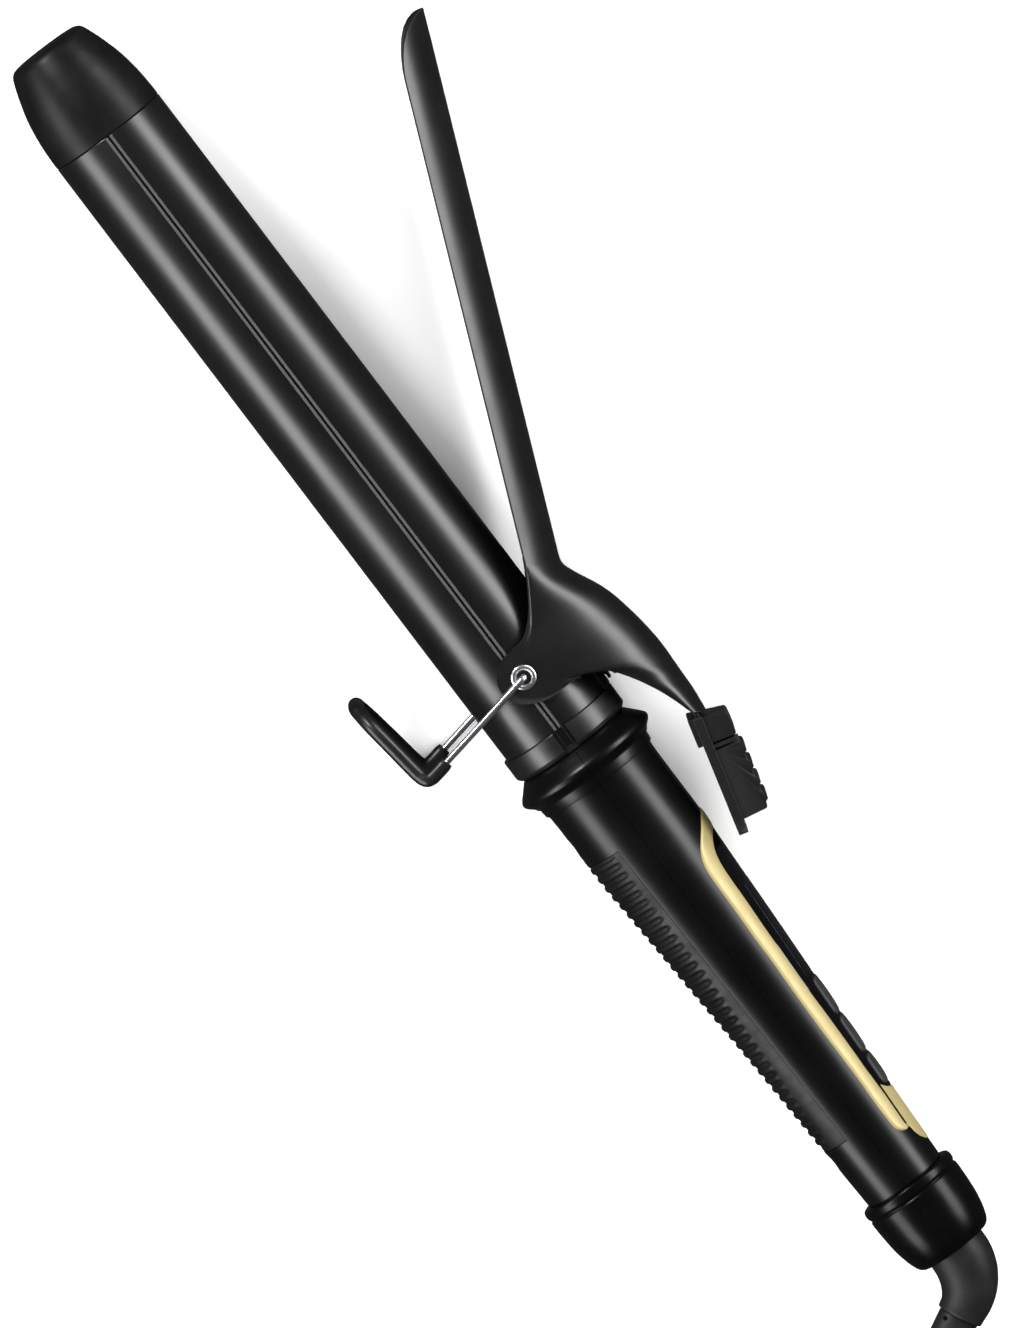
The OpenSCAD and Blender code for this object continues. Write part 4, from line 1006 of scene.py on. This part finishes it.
def cord_line():
    """One line from the strain relief down into the coil, turn by turn, and out to the plug."""
    points = [FLOOR.inverted() @ LIE @ (ELBOW_END + run * OUT) for run in (BOOT_LEN, BOOT_LEN + 3)]
    points += [(391.6, -50, 21.6), (396.4, -62, 19.8), (401, -74, 17.8), (405.4, -85, 16.2),
               (410.6, -95.5, 15.3)]
    points += [coil_point(ENTER + (LEAVE - ENTER) * i / COIL_POINTS)
               for i in range(COIL_POINTS + 1)]
    points += [(COIL[0] + COIL_RADII[2], COIL[1] + y, z)
               for y, z in ((6, 3.05), (12, 3.2), (18, 4.1), (24, 5.8), (30, 7.7), (35, 8.8),
                            (PLUG_Y, PLUG_Z))]
    return [FLOOR @ Vector(p) for p in smooth(points, 3)]


def build_plug():
    """The plug's body and its two blades."""
    place = (FLOOR @ Matrix.Translation((COIL[0] + COIL_RADII[2], COIL[1] + PLUG_Y, PLUG_Z))
             @ Matrix.Rotation(pi / 2, 4, "Z"))
    neck = lathe([(0, 0), (0, 3.5), (0.3, 3.65), (2.4, 3.8), (2.5, 3.2), (4.2, 3.25), (4.3, 3.95),
                  (6.4, 4.1), (6.5, 3.45), (8.2, 3.5), (8.3, 4.2), (10.4, 4.35), (10.5, 3.7),
                  (12.2, 3.75), (12.3, 4.45), (18, 4.8), (20, 4.8), (20, 0)], 56)
    body = []
    for x, a, b in ((18, 7, 5.6), (18.6, 8.6, 6.6), (20, 10, 7.4), (23, 10.8, 7.9), (30, 11, 8),
                    (42.8, 11, 8), (43.7, 10.8, 7.8), (44, 10.3, 7.4)):
        body.append([(x, u, v) for u, v in rounded([(-a, -b, 3.4), (a, -b, 3.4), (a, b, 3.4),
                                                    (-a, b, 3.4)], 7)])
    grips = [box_shape(25 + 3 * i, 26.4 + 3 * i, -7.5, 7.5, s * 8.0 - 0.25, s * 8.0 + 0.25)
             for i in range(5) for s in (1, -1)]
    plug = finish(merged("plug", neck, loft(body), *grips, place=place, sharp=35), "swivel",
                  "cord_rubber", "plug_body", bevel=0.15)
    blade = rounded([(36, -3.2), (61.5, -3.2, 1.2), (61.5, 3.2, 1.2), (36, 3.2)], 5)
    prongs = merged("prongs", *[upright(blade, y - 0.75, y + 0.75)
                                for y in (-BLADE_AT, BLADE_AT)], place=place)
    for y in (-BLADE_AT, BLADE_AT):
        v, f = lathe([(-2, 0), (-2, 1.5), (2, 1.5), (2, 0)], 24)
        cut(prongs, solid("hole", [(58 + b, y + a, c) for a, b, c in v], f, place))
    return plug, finish(prongs, "swivel", "contact_brass", "plug_blades", bevel=0.2)


def build_cord():
    line = cord_line()
    data = bpy.data.curves.new("flex", "CURVE")
    data.dimensions = "3D"
    data.bevel_depth, data.bevel_resolution = CORD_D / 2000, 6
    data.use_fill_caps = True
    spline = data.splines.new("POLY")
    spline.points.add(len(line) - 1)
    for point, p in zip(spline.points, line):
        point.co = (*p, 1)
    spline.use_smooth = True
    flex = bpy.data.objects.new("flex", data)
    bpy.context.scene.collection.objects.link(flex)
    data.materials.append(MATERIALS["cord_rubber"])
    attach(flex, "swivel")
    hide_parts("power_cord", "cord_coil")
    build_plug()
    build_tie()


# ---- the pieces inside ----
INSIDE = {
    "heater_block_upper": "heater_aluminium", "heater_block_lower": "heater_aluminium",
    "ptc_heater": "heater_film", "heat_sensor": "sensor_glass", "heater_leads": "lead_sleeving",
    "pivot_sleeve": "steel", "clamp_spring": "steel", "handle_screws": "screw_steel",
    "lcd_module": "lcd_glass", "circuit_board": "board_green", "key_switches": "switch_plastic",
    "brush_contacts": "contact_brass", "slip_rings": "contact_brass",
}
for name, slot in INSIDE.items():
    mesh = frame["nodes"][name].data
    mesh.materials.clear()
    mesh.materials.append(MATERIALS[slot])

build_barrel()
build_clamp()
build_pad()
build_stand()
build_shells()
build_grip()
build_trim()
build_panel()
build_rear()
build_cord()
